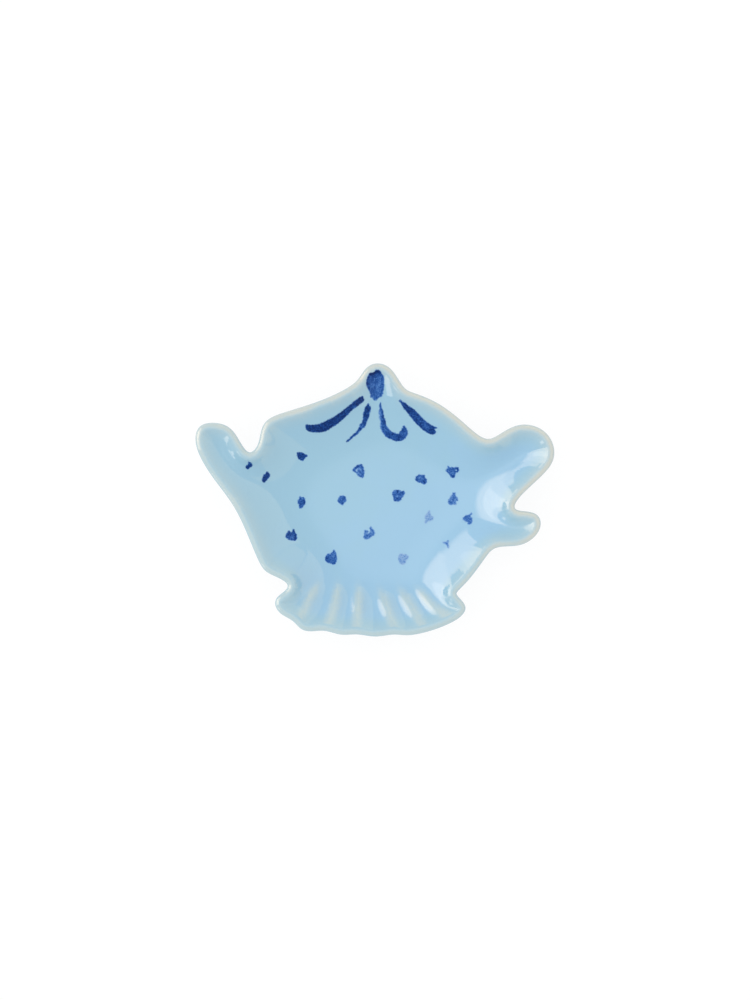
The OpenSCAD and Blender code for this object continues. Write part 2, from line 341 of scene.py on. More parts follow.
class Weave:
    """Lays a fold-free grid over the plan: strips across the lobes, rings over the rest."""

    def __init__(self, plan: Plan, across: int, shares: np.ndarray) -> None:
        """Makes the strips and the rings.

        Args:
            plan: The dish's plan.
            across: Cells across a lobe.
            shares: How far each ring lies from the rim to the standing oval.
        """
        self.plan = plan
        n, steps = len(plan.rim), plan.steps
        self.n = n
        self.places = [tuple(p) for p in plan.edge]
        self.faces = []
        sections = []
        for tip, reach in LOBES:
            centre = round(tip * steps)
            last = [centre] * (across + 1)
            for i in range(1, round(reach * steps) + 1):
                a, b = (centre - i) % n, (centre + i) % n
                pa, pb = plan.edge[a], plan.edge[b]
                row = [a]
                for j in range(1, across):
                    self.places.append(tuple(pa + (pb - pa) * j / across))
                    row.append(len(self.places) - 1)
                row.append(b)
                for j in range(across):
                    cell = [last[j], last[j + 1], row[j + 1], row[j]]
                    self.faces.append([c for k, c in enumerate(cell) if c not in cell[:k]])
                last = row
            sections.append(last)
        self.loop = []
        for k, (tip, reach) in enumerate(LOBES):
            following = LOBES[(k + 1) % len(LOBES)]
            start = round((tip + reach) * steps)
            stop = round((following[0] - following[1]) * steps)
            stop += n if k == len(LOBES) - 1 else 0
            self.loop += sections[k][1:-1]
            self.loop += [i % n for i in range(start, stop + 1)]
        edge = np.array([self.places[i] for i in self.loop])
        ray = edge - plan.well
        self.reach = np.linalg.norm(ray, axis=1)
        self.ray = ray / self.reach[:, None]
        self.last = self.loop
        for share in shares[1:]:
            self.ring(self.reach * (1 - share) + self.oval(0) * share)

    def oval(self, drawn_in: float) -> np.ndarray:
        """How far the standing oval, drawn in by a width, lies along each ray."""
        s = self.plan.sizes
        half = np.array([s.ring_l / 2 - drawn_in, s.ring_d / 2 - drawn_in])
        return 1 / np.linalg.norm(self.ray / half, axis=1)

    def ring(self, reach: np.ndarray) -> list:
        """Adds a ring inside the last one.

        Args:
            reach: How far it lies from the well's middle along each ray.

        Returns:
            The numbers of its places.
        """
        start = len(self.places)
        self.places += [tuple(p) for p in self.plan.well + self.ray * reach[:, None]]
        row = list(range(start, len(self.places)))
        m = len(row)
        for i in range(m):
            j = (i + 1) % m
            self.faces.append([self.last[i], self.last[j], row[j], row[i]])
        self.last = row
        return row

    def fill(self, rings: int) -> Sheet:
        """Fills the standing oval with rings, down to a fan at the well's middle.

        Args:
            rings: How many rings of cells, the fan among them.

        Returns:
            The whole sheet.
        """
        oval = self.oval(0)
        for share in np.linspace(1, 0, rings + 1)[1:-1]:
            self.ring(oval * share)
        self.places.append(tuple(self.plan.well))
        m = len(self.last)
        self.faces += [
            [self.last[i], self.last[(i + 1) % m], len(self.places) - 1] for i in range(m)
        ]
        return self.sheet()

    def sheet(self) -> Sheet:
        """The places and faces so far."""
        return Sheet(np.array(self.places), [list(f) for f in self.faces])


class Side(Enum):
    """Which side of the dish a sheet lies on."""

    UPPER = 0.0
    UNDER = 1.0


class Term:
    """A value in a node tree that sums and products can be made of."""

    def __init__(self, tree: bpy.types.NodeTree, socket: object) -> None:
        """Wraps a socket, or a plain number.

        Args:
            tree: The tree that new nodes go into.
            socket: An output socket, or a number.
        """
        self.tree = tree
        self.socket = socket

    def feed(self, place: bpy.types.NodeSocket, value: object) -> None:
        """Sets an input to a number, or links a term or a socket to it."""
        value = value.socket if isinstance(value, Term) else value
        if isinstance(value, (int, float)):
            place.default_value = value
        else:
            self.tree.links.new(value, place)

    def math(self, operation: str, *others: object, clamp: bool = False) -> "Term":
        """Adds a Math node.

        Args:
            operation: The node's operation.
            *others: The other operands, as terms or numbers.
            clamp: Whether the result is held to 0..1.

        Returns:
            The node's result.
        """
        node = self.tree.nodes.new("ShaderNodeMath")
        node.operation = operation
        node.use_clamp = clamp
        for place, value in zip(node.inputs, (self, *others)):
            self.feed(place, value)
        return Term(self.tree, node.outputs[0])

    def __add__(self, other: object) -> "Term":
        """Sum."""
        return self.math("ADD", other)

    def __sub__(self, other: object) -> "Term":
        """Difference."""
        return self.math("SUBTRACT", other)

    def __rsub__(self, other: float) -> "Term":
        """Difference from a number."""
        return Term(self.tree, other).math("SUBTRACT", self)

    def __mul__(self, other: object) -> "Term":
        """Product."""
        return self.math("MULTIPLY", other)

    def __truediv__(self, other: object) -> "Term":
        """Quotient."""
        return self.math("DIVIDE", other)

    def eased(self, low: float, high: float) -> "Term":
        """0 up to low, 1 from high on, and an eased step between them."""
        node = self.tree.nodes.new("ShaderNodeMapRange")
        node.interpolation_type = "SMOOTHSTEP"
        for name, value in (("Value", self), ("From Min", low), ("From Max", high)):
            self.feed(node.inputs[name], value)
        return Term(self.tree, node.outputs["Result"])

    def swing(self, size: float, middle: float = 0.5) -> "Term":
        """Noise that swings by a size about nothing, where this one has its middle."""
        return (self - middle) * size


def pictured(tree: bpy.types.NodeTree) -> tuple:
    """Tells rays that picture the scene from those that only light it.

    Args:
        tree: The node tree of a material or a world.

    Returns:
        1 for camera, glossy and transmission rays, and 1 for glossy ones alone.
    """
    path = tree.nodes.new("ShaderNodeLightPath")
    names = ("Is Camera Ray", "Is Glossy Ray", "Is Transmission Ray")
    camera, gloss, passing = (Term(tree, path.outputs[name]) for name in names)
    return camera.math("MAXIMUM", gloss).math("MAXIMUM", passing), gloss


class PouredShape:
    """The rule that lifts a plan sheet into the dish, as a node tree with named sizes."""

    INPUTS = (
        "Lip centre height", "Lip radius", "Lip lean", "Well drop", "Wall width",
        "Lip reach", "Wall thickness", "Floor thickness", "Ridge share",
        "Ridge under share", "Lift",
    )

    def __init__(self) -> None:
        """Builds the tree."""
        self.tree = bpy.data.node_groups.new("poured_shape", "GeometryNodeTree")
        self.tree.is_modifier = True
        self.ids = {}
        self._ask("Geometry", "NodeSocketGeometry")
        self.tree.interface.new_socket(
            "Geometry", in_out="OUTPUT", socket_type="NodeSocketGeometry"
        )
        for name in self.INPUTS:
            self._ask(name, "NodeSocketFloat")
        self._ask("Finish", "NodeSocketMaterial")
        self._wire()

    def _ask(self, name: str, kind: str) -> None:
        """Gives the tree an input of a kind and notes its identifier."""
        socket = self.tree.interface.new_socket(name, in_out="INPUT", socket_type=kind)
        self.ids[name] = socket.identifier

    def _named(self, name: str) -> Term:
        """A value that the sheet carries at each of its points."""
        node = self.tree.nodes.new("GeometryNodeInputNamedAttribute")
        node.data_type = "FLOAT"
        node.inputs["Name"].default_value = name
        return Term(self.tree, node.outputs["Attribute"])

    def _wire(self) -> None:
        """Wires the rule: a parabola from the lip down to the well, and a round lip."""
        tree = self.tree
        enter = tree.nodes.new("NodeGroupInput")
        leave = tree.nodes.new("NodeGroupOutput")
        size = {name: Term(tree, enter.outputs[name]) for name in self.INPUTS}
        inset, crest = self._named("inset"), self._named("crest")
        under, turn = self._named("under"), self._named("turn")
        lean = size["Lip lean"]
        foot = size["Lip centre height"] + size["Lip radius"] * lean.math("COSINE")
        ask = (inset - size["Lip reach"]) / size["Wall width"]
        left = 1.0 - ask.math("ADD", 0.0, clamp=True)
        drop_share = 1.0 - left * left
        slope = lean.math("TANGENT") * left
        steep = (slope * slope + 1.0).math("SQRT")
        upper = foot - size["Well drop"] * drop_share * (1.0 - crest * size["Ridge share"])
        under_crest = crest * size["Ridge share"] * size["Ridge under share"]
        wall = (
            size["Wall thickness"]
            + (size["Floor thickness"] - size["Wall thickness"]) * drop_share
        )
        lower = foot - size["Well drop"] * drop_share * (1.0 - under_crest) - wall * steep
        sheet_z = upper + (lower - upper) * under
        lip_z = size["Lip centre height"] + size["Lip radius"] * turn.math("SINE")
        on_lip = self._named("lip")
        height = sheet_z + (lip_z - sheet_z) * on_lip
        height = height + self._named("rise") + size["Lift"]
        outward = size["Lip radius"] * (turn.math("COSINE") + 1.0) * on_lip
        shift = [self._named(name) * outward for name in ("inward_x", "inward_y")]
        offset = tree.nodes.new("ShaderNodeCombineXYZ")
        for place, value in zip(offset.inputs, (*shift, height)):
            tree.links.new(value.socket, place)
        move = tree.nodes.new("GeometryNodeSetPosition")
        smooth = tree.nodes.new("GeometryNodeSetShadeSmooth")
        paint = tree.nodes.new("GeometryNodeSetMaterial")
        tree.links.new(offset.outputs[0], move.inputs["Offset"])
        tree.links.new(enter.outputs["Finish"], paint.inputs["Material"])
        chain = (enter, move, smooth, paint, leave)
        for before, after in zip(chain, chain[1:]):
            tree.links.new(before.outputs[0], after.inputs["Geometry"])

    def lift(
        self, name: str, draft: bpy.types.Object, sizes: dict, finish: bpy.types.Material
    ) -> bpy.types.Object:
        """Lifts a draft and turns the result into a plain mesh.

        Args:
            name: The finished piece's name.
            draft: The plan sheet, which is removed.
            sizes: A value for each named input, lengths in metres.
            finish: The material.

        Returns:
            The finished piece.
        """
        modifier = draft.modifiers.new("poured_shape", "NODES")
        modifier.node_group = self.tree
        for key, value in sizes.items():
            modifier[self.ids[key]] = value
        modifier[self.ids["Finish"]] = finish
        graph = bpy.context.evaluated_depsgraph_get()
        graph.update()
        mesh = bpy.data.meshes.new_from_object(draft.evaluated_get(graph))
        mesh.name = name
        bpy.data.objects.remove(draft)
        piece = bpy.data.objects.new(name, mesh)
        bpy.context.scene.collection.objects.link(piece)
        LOG.info("%s: %d faces", name, len(mesh.polygons))
        return piece


class Finish:
    """A procedural material under construction."""

    def __init__(self, name: str) -> None:
        """Makes an empty material with its surface shader.

        Args:
            name: The material's name.
        """
        self.material = bpy.data.materials.new(name)
        self.material.use_nodes = True
        self.tree = self.material.node_tree
        self.shader = self.tree.nodes["Principled BSDF"]
        self.coords = self.tree.nodes.new("ShaderNodeTexCoord")

    def attribute(self, name: str) -> Term:
        """A value that the piece carries at each of its points."""
        node = self.tree.nodes.new("ShaderNodeAttribute")
        node.attribute_name = name
        return Term(self.tree, node.outputs["Fac"])

    def noise(self, per_mm: float, detail: float = 2.0, rough: float = 0.5) -> Term:
        """Cloudy noise in the object's own space.

        Args:
            per_mm: Swells in a millimetre.
            detail: Octaves.
            rough: Strength of the finer octaves.

        Returns:
            The noise, about 0.5 on average.
        """
        node = self.tree.nodes.new("ShaderNodeTexNoise")
        node.inputs["Scale"].default_value = per_mm / MM
        node.inputs["Detail"].default_value = detail
        node.inputs["Roughness"].default_value = rough
        self.tree.links.new(self.coords.outputs["Object"], node.inputs["Vector"])
        return Term(self.tree, node.outputs["Fac"])

    def specks(self, per_mm: float, low: float, high: float) -> Term:
        """Small round specks, one in each cell.

        Args:
            per_mm: Cells in a millimetre.
            low: Radius share within which a speck is full.
            high: Radius share at which it has gone.

        Returns:
            1 in a speck and 0 elsewhere.
        """
        node = self.tree.nodes.new("ShaderNodeTexVoronoi")
        node.inputs["Scale"].default_value = per_mm / MM
        self.tree.links.new(self.coords.outputs["Object"], node.inputs["Vector"])
        return 1.0 - Term(self.tree, node.outputs["Distance"]).eased(low, high)

    def mix(self, share: Term, a: object, b: object) -> object:
        """Mixes two colours.

        Args:
            share: Share of the second colour.
            a: First colour, as a socket or 0..255 sRGB values.
            b: Second colour, the same.

        Returns:
            The mixed colour's socket.
        """
        node = self.tree.nodes.new("ShaderNodeMix")
        node.data_type = "RGBA"
        self.tree.links.new(share.socket, node.inputs[0])
        for place, value in ((node.inputs[6], a), (node.inputs[7], b)):
            if isinstance(value, tuple):
                place.default_value = (*linear(value), 1.0)
            else:
                self.tree.links.new(value, place)
        return node.outputs[2]

    def slant(self, across: float, along: float) -> Term:
        """A weighted sum of the place's own X and Y, in metres."""
        node = self.tree.nodes.new("ShaderNodeSeparateXYZ")
        self.tree.links.new(self.coords.outputs["Object"], node.inputs[0])
        x, y = (Term(self.tree, node.outputs[i]) for i in (0, 1))
        return x * across + y * along

    def ramp(self, value: Term, stops: tuple) -> object:
        """Colours a value.

        Args:
            value: The value, 0 to 1.
            stops: Pairs of a value and its 0..255 sRGB colour, from the lowest up.

        Returns:
            The colour's socket.
        """
        node = self.tree.nodes.new("ShaderNodeValToRGB")
        elements = node.color_ramp.elements
        for _ in stops[2:]:
            elements.new(1.0)
        for element, (at, colour) in zip(elements, stops):
            element.position = at
            element.color = (*linear(colour), 1.0)
        self.tree.links.new(value.socket, node.inputs[0])
        return node.outputs[0]

    def bump(self, coarse: tuple, fine: tuple, share: float, depth_mm: float) -> None:
        """Roughens the surface with a coarse and a fine noise.

        Args:
            coarse: The coarse noise: swells in a millimetre, octaves and so on.
            fine: The fine noise, the same.
            share: The coarse noise's share.
            depth_mm: The relief's full depth in millimetres.
        """
        height = self.noise(*coarse) * share + self.noise(*fine) * (1.0 - share)
        node = self.tree.nodes.new("ShaderNodeBump")
        node.inputs["Strength"].default_value = 1.0
        node.inputs["Distance"].default_value = depth_mm * MM
        self.tree.links.new(height.socket, node.inputs["Height"])
        self.tree.links.new(node.outputs[0], self.shader.inputs["Normal"])

    def colour(self, socket: object) -> None:
        """Feeds a colour to the shader."""
        self.tree.links.new(socket, self.shader.inputs["Base Color"])


def linear(colour: tuple) -> tuple:
    """Turns 0..255 sRGB values into linear ones."""
    parts = [c / 255 for c in colour]
    return tuple(c / 12.92 if c <= 0.04045 else ((c + 0.055) / 1.055) ** 2.4 for c in parts)


@dataclass(frozen=True)
class Drift:
    """A slow change of colour across the dish.

    Attributes:
        way: How much it follows X and Y.
        band: Where along that way it starts and ends, in millimetres.
        stray: How far clouds carry it about, in millimetres.
    """

    way: tuple
    band: tuple
    stray: float

    def share(self, finish: Finish, cloud: Term) -> Term:
        """How far the change has come at each place, 0 to 1."""
        return (finish.slant(*self.way) / MM + cloud.swing(self.stray)).eased(*self.band)


@dataclass(frozen=True)
class Specks:
    """Small specks that gather in clouds.

    Attributes:
        per_mm: Cells in a millimetre, each with one speck.
        edge: The radius shares at which a speck starts to fade and has gone.
        cloud_per_mm: Swells of the clouds in a millimetre.
        cloud: The noise at which the specks come in and are all there.
        share: How strongly they cover the ground.
    """

    per_mm: float
    edge: tuple
    cloud_per_mm: float
    cloud: tuple
    share: float

    def cover(self, finish: Finish) -> Term:
        """How much the specks cover each place, 0 to 1."""
        specks = finish.specks(self.per_mm, *self.edge)
        return specks * finish.noise(self.cloud_per_mm).eased(*self.cloud) * self.share


@dataclass(frozen=True)
class GlazeFinish:
    """Glossy pale blue glaze, thin and paler where it has run off the edges.

    Attributes:
        pool: The colour of the deep glaze at the lower right.
        haze: The same at the upper left.
        wall: Its colour at the top of the wall.
        cool: The colour of thin glaze at the lower left.
        warm: The same at the upper right.
        speck: The colour of its specks.
        pool_drift: From haze to pool.
        warm_drift: From cool to warm.
        specks: The specks.
        cloud: Its clouds: swells in a millimetre and octaves.
        mottle: Its mottling, the same.
        deep_swing: How much the clouds shift its depth.
        thin_swing: How much they shift its thinness.
        mottle_swing: How much the mottling shifts that.
        roughness: The roughness of its surface.
        ior: Its index of refraction.
        swells: The surface's long waves: swells in a millimetre and octaves.
        ripples: Its short waves, the same.
        swell_share: The long waves' share.
        wave_mm: Depth of the waves, in millimetres.
    """

    pool: tuple = (154, 197, 225)
    haze: tuple = (154, 197, 219)
    wall: tuple = (156, 197, 217)
    cool: tuple = (184, 206, 211)
    warm: tuple = (201, 208, 203)
    speck: tuple = (139, 173, 196)
    pool_drift: Drift = Drift((0.6, -0.8), (-20.0, 22.0), 40.0)
    warm_drift: Drift = Drift((0.5, 0.85), (-30.0, 32.0), 60.0)
    specks: Specks = Specks(1.6, (0.06, 0.2), 0.5, (0.45, 0.7), 0.3)
    cloud: tuple = (0.12, 3.0)
    mottle: tuple = (1.1, 2.0)
    deep_swing: float = 0.4
    thin_swing: float = 0.6
    mottle_swing: float = 0.7
    roughness: float = 0.015
    ior: float = 1.55
    swells: tuple = (0.3, 1.0)
    ripples: tuple = (1.4, 1.0)
    swell_share: float = 0.75
    wave_mm: float = 0.014

    def ground(self, finish: Finish) -> object:
        """The glaze's colour.

        Args:
            finish: The material that it goes into.

        Returns:
            The colour's socket.
        """
        cloud, mottle = finish.noise(*self.cloud), finish.noise(*self.mottle)
        deep = (finish.attribute("deep") + cloud.swing(self.deep_swing)).eased(0.0, 1.0)
        well = finish.mix(self.pool_drift.share(finish, cloud), self.haze, self.pool)
        blue = finish.mix(deep, self.wall, well)
        pale = finish.mix(self.warm_drift.share(finish, cloud), self.cool, self.warm)
        uneven = mottle.swing(self.mottle_swing) + cloud.swing(self.thin_swing) + 1.0
        thin = (finish.attribute("thin") * uneven).eased(0.0, 1.0)
        return finish.mix(
            self.specks.cover(finish), finish.mix(thin, blue, pale), self.speck
        )

    def gloss(self, finish: Finish) -> None:
        """Sets the glassy surface with its faint waves."""
        finish.shader.inputs["Roughness"].default_value = self.roughness
        finish.shader.inputs["IOR"].default_value = self.ior
        finish.bump(self.swells, self.ripples, self.swell_share, self.wave_mm)

    def make(self) -> bpy.types.Material:
        """Builds the glaze's material."""
        finish = Finish("pale_blue_glaze")
        finish.colour(self.ground(finish))
        self.gloss(finish)
        return finish.material


@dataclass(frozen=True)
class CobaltFinish:
    """Cobalt brushed on under the same glaze, uneven as watercolour is.

    Attributes:
        glaze: The glaze round and over it.
        tones: The colour at each load of cobalt, from the faintest up.
        full_load: The load that has the last tone.
        full_level: How strongly the full ink shines.
        bare_level: How strongly bare glaze does.
        ragged: Noise of the ragged edge: swells in a millimetre, octaves, strength.
        ragged_mm: How far this moves the edge, in millimetres.
        ragged_middle: The noise that leaves the edge where the mark has it.
        cover_mm: How far inside the edge the ink starts and covers, in millimetres.
        faint_mm: How far inside it starts and ends being faint, in millimetres.
        faint: How much less load it has there.
        blot: Noise of the blots, as above.
        blot_swing: How much it shifts the load.
        grain: Noise of the grain.
        grain_swing: How much it shifts the load.
    """

    glaze: GlazeFinish = GlazeFinish()
    tones: tuple = (
        (0.0, (143, 176, 216)), (0.17, (119, 160, 209)), (0.33, (88, 134, 197)),
        (0.5, (57, 105, 177)), (0.67, (33, 78, 150)), (0.83, (18, 55, 121)),
        (1.0, (12, 38, 90)),
    )
    full_load: float = 1.2
    full_level: float = 0.05
    bare_level: float = 0.5
    ragged: tuple = (1.6, 3.0, 0.6)
    ragged_mm: float = 0.8
    ragged_middle: float = 0.35
    cover_mm: tuple = (-0.19, 0.22)
    faint_mm: tuple = (-0.1, 0.5)
    faint: float = 0.3
    blot: tuple = (0.75, 2.0, 0.6)
    blot_swing: float = 0.5
    grain: tuple = (2.6, 2.0, 0.7)
    grain_swing: float = 1.4

    def make(self) -> bpy.types.Material:
        """Builds the brush marks' material."""
        finish = Finish("cobalt_under_glaze")
        ground = self.glaze.ground(finish)
        ragged = finish.noise(*self.ragged).swing(self.ragged_mm, self.ragged_middle)
        reach = finish.attribute("ink_reach") + ragged
        cover = reach.eased(*self.cover_mm)
        faint = 1.0 - reach.eased(*self.faint_mm)
        blot = finish.noise(*self.blot).swing(self.blot_swing)
        grain = finish.noise(*self.grain).swing(self.grain_swing)
        load = finish.attribute("ink_load") + blot + grain
        tone = finish.ramp((load - faint * self.faint) / self.full_load, self.tones)
        finish.colour(finish.mix(cover, ground, tone))
        self.glaze.gloss(finish)
        level = self.bare_level - cover * (self.bare_level - self.full_level)
        finish.tree.links.new(level.socket, finish.shader.inputs["Specular IOR Level"])
        return finish.material


@dataclass(frozen=True)
class ClayFinish:
    """Bare fired clay: matt, fine grained, and toasted beside the glaze.

    Attributes:
        body: Its colour.
        toast: Its colour beside the glaze.
        iron: The colour of its specks.
        specks: The specks.
        cloud: Noise of the toasting: swells in a millimetre and octaves.
        cloud_swing: How much this shifts it.
        toast_band: The toasting that starts to show and shows in full.
        roughness: The roughness of its surface.
        grain: Its coarse grain: swells in a millimetre, octaves and strength.
        dust: Its fine grain, the same.
        grain_share: The coarse grain's share.
        grain_mm: Depth of the grain, in millimetres.
    """

    body: tuple = (214, 205, 188)
    toast: tuple = (196, 166, 132)
    iron: tuple = (150, 120, 92)
    specks: Specks = Specks(0.9, (0.05, 0.14), 0.7, (0.4, 0.6), 0.6)
    cloud: tuple = (0.2, 4.0)
    cloud_swing: float = 0.6
    toast_band: tuple = (0.2, 1.1)
    roughness: float = 0.85
    grain: tuple = (2.5, 4.0, 0.7)
    dust: tuple = (7.0, 2.0)
    grain_share: float = 0.7
    grain_mm: float = 0.12

    def make(self) -> bpy.types.Material:
        """Builds the clay's material."""
        finish = Finish("bare_clay")
        cloud = finish.noise(*self.cloud).swing(self.cloud_swing)
        toast = (finish.attribute("toast") + cloud).eased(*self.toast_band)
        tone = finish.mix(toast, self.body, self.toast)
        finish.colour(finish.mix(self.specks.cover(finish), tone, self.iron))
        finish.shader.inputs["Roughness"].default_value = self.roughness
        finish.bump(self.grain, self.dust, self.grain_share, self.grain_mm)
        return finish.material


@dataclass(frozen=True)
class PaperFinish:
    """The floor's matt white paper, which what is pictured shows as nearly white.

    Attributes:
        tone: The paper's own grey, linear.
        roughness: The roughness of its surface.
        level: How strongly it shines.
        glow: How bright the white is.
        share: How much of the white is pictured; the rest is the lit paper.
    """

    tone: float = 0.9
    roughness: float = 0.9
    level: float = 0.2
    glow: float = 1.03
    share: float = 0.88

    def make(self) -> bpy.types.Material:
        """Builds the paper's material."""
        finish = Finish("floor_paper")
        tree, shader = finish.tree, finish.shader
        shader.inputs["Base Color"].default_value = (self.tone, self.tone, self.tone, 1)
        shader.inputs["Roughness"].default_value = self.roughness
        shader.inputs["Specular IOR Level"].default_value = self.level
        glow = tree.nodes.new("ShaderNodeEmission")
        glow.inputs["Strength"].default_value = self.glow
        share = pictured(tree)[0] * self.share
        mix = tree.nodes.new("ShaderNodeMixShader")
        parts = (share.socket, shader.outputs[0], glow.outputs[0])
        for place, socket in zip(mix.inputs, parts):
            tree.links.new(socket, place)
        tree.links.new(mix.outputs[0], tree.nodes["Material Output"].inputs["Surface"])
        return finish.material


class Draft:
    """Collects sheets and their point values until a piece is lifted."""

    VALUES = (
        "inset", "crest", "under", "turn", "lip", "rise", "inward_x", "inward_y",
        "thin", "deep", "toast", "ink_reach", "ink_load",
    )
    # The values that the poured shape takes as lengths in metres
    LENGTHS = ("inset", "rise")

    def __init__(self, plan: Plan) -> None:
        """Starts empty.

        Args:
            plan: The dish's plan.
        """
        self.plan = plan
        self.places = np.empty((0, 2))
        self.values = {name: np.empty(0) for name in self.VALUES}
        self.faces = []
        self.sharp = set()

    def add(self, places: np.ndarray, **values: object) -> int:
        """Adds places with their point values.

        Args:
            places: Plan places in millimetres, as rows.
            **values: A number or one number for each place; 0 where left out.

        Returns:
            The number of the first one.
        """
        start = len(self.places)
        self.places = np.vstack([self.places, places])
        for name in self.VALUES:
            new = np.broadcast_to(np.asarray(values.get(name, 0.0), float), len(places))
            self.values[name] = np.append(self.values[name], new)
        return start

    def add_sheet(self, sheet: Sheet, side: Side, **values: object) -> int:
        """Adds a sheet of the wall and floor.

        Args:
            sheet: The plan sheet.
            side: Which side of the dish it is.
            **values: Further point values.

        Returns:
            The number of its first place.
        """
        inset = self.plan.inset(sheet.places)
        crest = self.plan.crest(sheet.places)
        start = self.add(
            sheet.places, inset=inset, crest=crest, under=side.value, **values
        )
        turn = 1 if side is Side.UPPER else -1
        self.faces += [[start + c for c in f][::turn] for f in sheet.faces]
        return start

    def strip(self, a: list, b: list) -> None:
        """Joins two closed rows of places of one length."""
        m = len(a)
        self.faces += [[a[i], a[(i + 1) % m], b[(i + 1) % m], b[i]] for i in range(m)]

    def row(self, places: np.ndarray, last: list, **values: object) -> list:
        """Adds a closed row of places and joins it to the last one.

        Args:
            places: Plan places in millimetres, as rows.
            last: The numbers of the last row's places.
            **values: Their point values.

        Returns:
            The numbers of the new places.
        """
        first = self.add(places, **values)
        row = list(range(first, first + len(places)))
        self.strip(row, last)
        return row

    def lip(
        self, upper: int, under: int, radius: float, steps: int, **values: object
    ) -> None:
        """Adds the round of the lip between the edges of two sheets.

        Args:
            upper: The first place of the upper sheet, which starts with the lip's edge.
            under: The same of the sheet underneath.
            radius: The round's radius in millimetres.
            steps: Facets round it.
            **values: Further point values.
        """
        plan = self.plan
        n = len(plan.rim)
        start_turn = math.radians(90 - plan.sizes.lip_lean)
        row = list(range(upper, upper + n))
        base = plan.rim + plan.inward * (plan.sizes.lip_r - radius)
        for step in range(1, steps):
            turn = start_turn + math.pi * step / steps
            extra = {k: v(turn) if callable(v) else v for k, v in values.items()}
            row = self.row(
                base, row, turn=turn, lip=1.0,
                inward_x=plan.inward[:, 0], inward_y=plan.inward[:, 1], **extra,
            )
        self.strip(list(range(under, under + n)), row)

    def object(self) -> bpy.types.Object:
        """Makes the plan mesh, in metres, with its point values."""
        mesh = bpy.data.meshes.new("draft")
        flat = np.column_stack([self.places * MM, np.zeros(len(self.places))])
        mesh.from_pydata(flat.tolist(), [], self.faces)
        for name, numbers in self.values.items():
            layer = mesh.attributes.new(name, "FLOAT", "POINT")
            unit = MM if name in self.LENGTHS else 1.0
            layer.data.foreach_set("value", (numbers * unit).astype(np.float32))
        if self.sharp:
            layer = mesh.attributes.new("sharp_edge", "BOOLEAN", "EDGE")
            ends = np.empty(len(mesh.edges) * 2, np.int32)
            mesh.edges.foreach_get("vertices", ends)
            marks = [(min(e), max(e)) in self.sharp for e in ends.reshape(-1, 2).tolist()]
            layer.data.foreach_set("value", marks)
        draft = bpy.data.objects.new("draft", mesh)
        bpy.context.scene.collection.objects.link(draft)
        return draft


@dataclass
class Layer:
    """A layer of the dish that the poured shape makes.

    Attributes:
        plan: The dish's plan.
        shape: The rule that lifts it.
    """

    # How thin the glaze lies at the top of the wall, on a crest, and how it eases there
    WALL_THIN, CREST_THIN, CREST_POWER = 0.36, 0.78, 1.4
    # How far down the wall it is deep, in millimetres
    DEEP_AT = 5.0

    plan: Plan
    shape: PouredShape

    def thin_share(self, turn: float) -> float:
        """How thin the glaze has run at a turn of the lip's round, in radians."""
        turns = [42, 48, 63, 75, 88, 100, 112, 126, 142, 160, 180, 222]
        shares = [0.3, 0.3, 0.36, 0.45, 0.57, 0.75, 1, 1, 0.8, 0.6, 0.45, 0.3]
        return np.interp(np.degrees(turn), turns, shares)

    def tints(self, inset: np.ndarray, crest: np.ndarray, run: float = 2.2) -> dict:
        """How thin and how deep the glaze lies on the wall and floor.

        Args:
            inset: Distance from the rim in millimetres.
            crest: Height on a ridge, 0 to 1.
            run: How far down the glaze has run thin, in millimetres.

        Returns:
            The point values by name.
        """
        below = np.maximum(inset - self.plan.sizes.lip_reach, 0)
        wall = self.WALL_THIN * np.exp(-below / run)
        return {
            "thin": np.maximum(wall, self.CREST_THIN * crest**self.CREST_POWER),
            "deep": smoothed(below / self.DEEP_AT),
        }

    def inputs(self, coat: float, lift: float = 0.0) -> dict:
        """The rule's named sizes for a skin.

        Args:
            coat: How much glaze the skin carries, in millimetres.
            lift: How far it is raised, in millimetres.

        Returns:
            A value for each named input, lengths in metres.
        """
        s = self.plan.sizes
        lean = math.radians(s.lip_lean)
        centre = self.plan.top_z - s.lip_r
        foot = centre + s.lip_r * math.cos(lean)
        drop = foot - s.ring_h - s.floor_t - s.glaze_t
        bare = s.glaze_t - coat
        return {
            "Lip centre height": centre * MM,
            "Lip radius": (s.lip_r - bare) * MM,
            "Lip lean": lean,
            "Well drop": drop * MM,
            "Wall width": 2 * drop / math.tan(lean) * MM,
            "Lip reach": s.lip_reach * MM,
            "Wall thickness": (s.lip_t - 2 * bare) * MM,
            "Floor thickness": (s.floor_t + 2 * coat) * MM,
            "Ridge share": s.ridge_share,
            "Ridge under share": s.ridge_under_share,
            "Lift": lift * MM,
        }


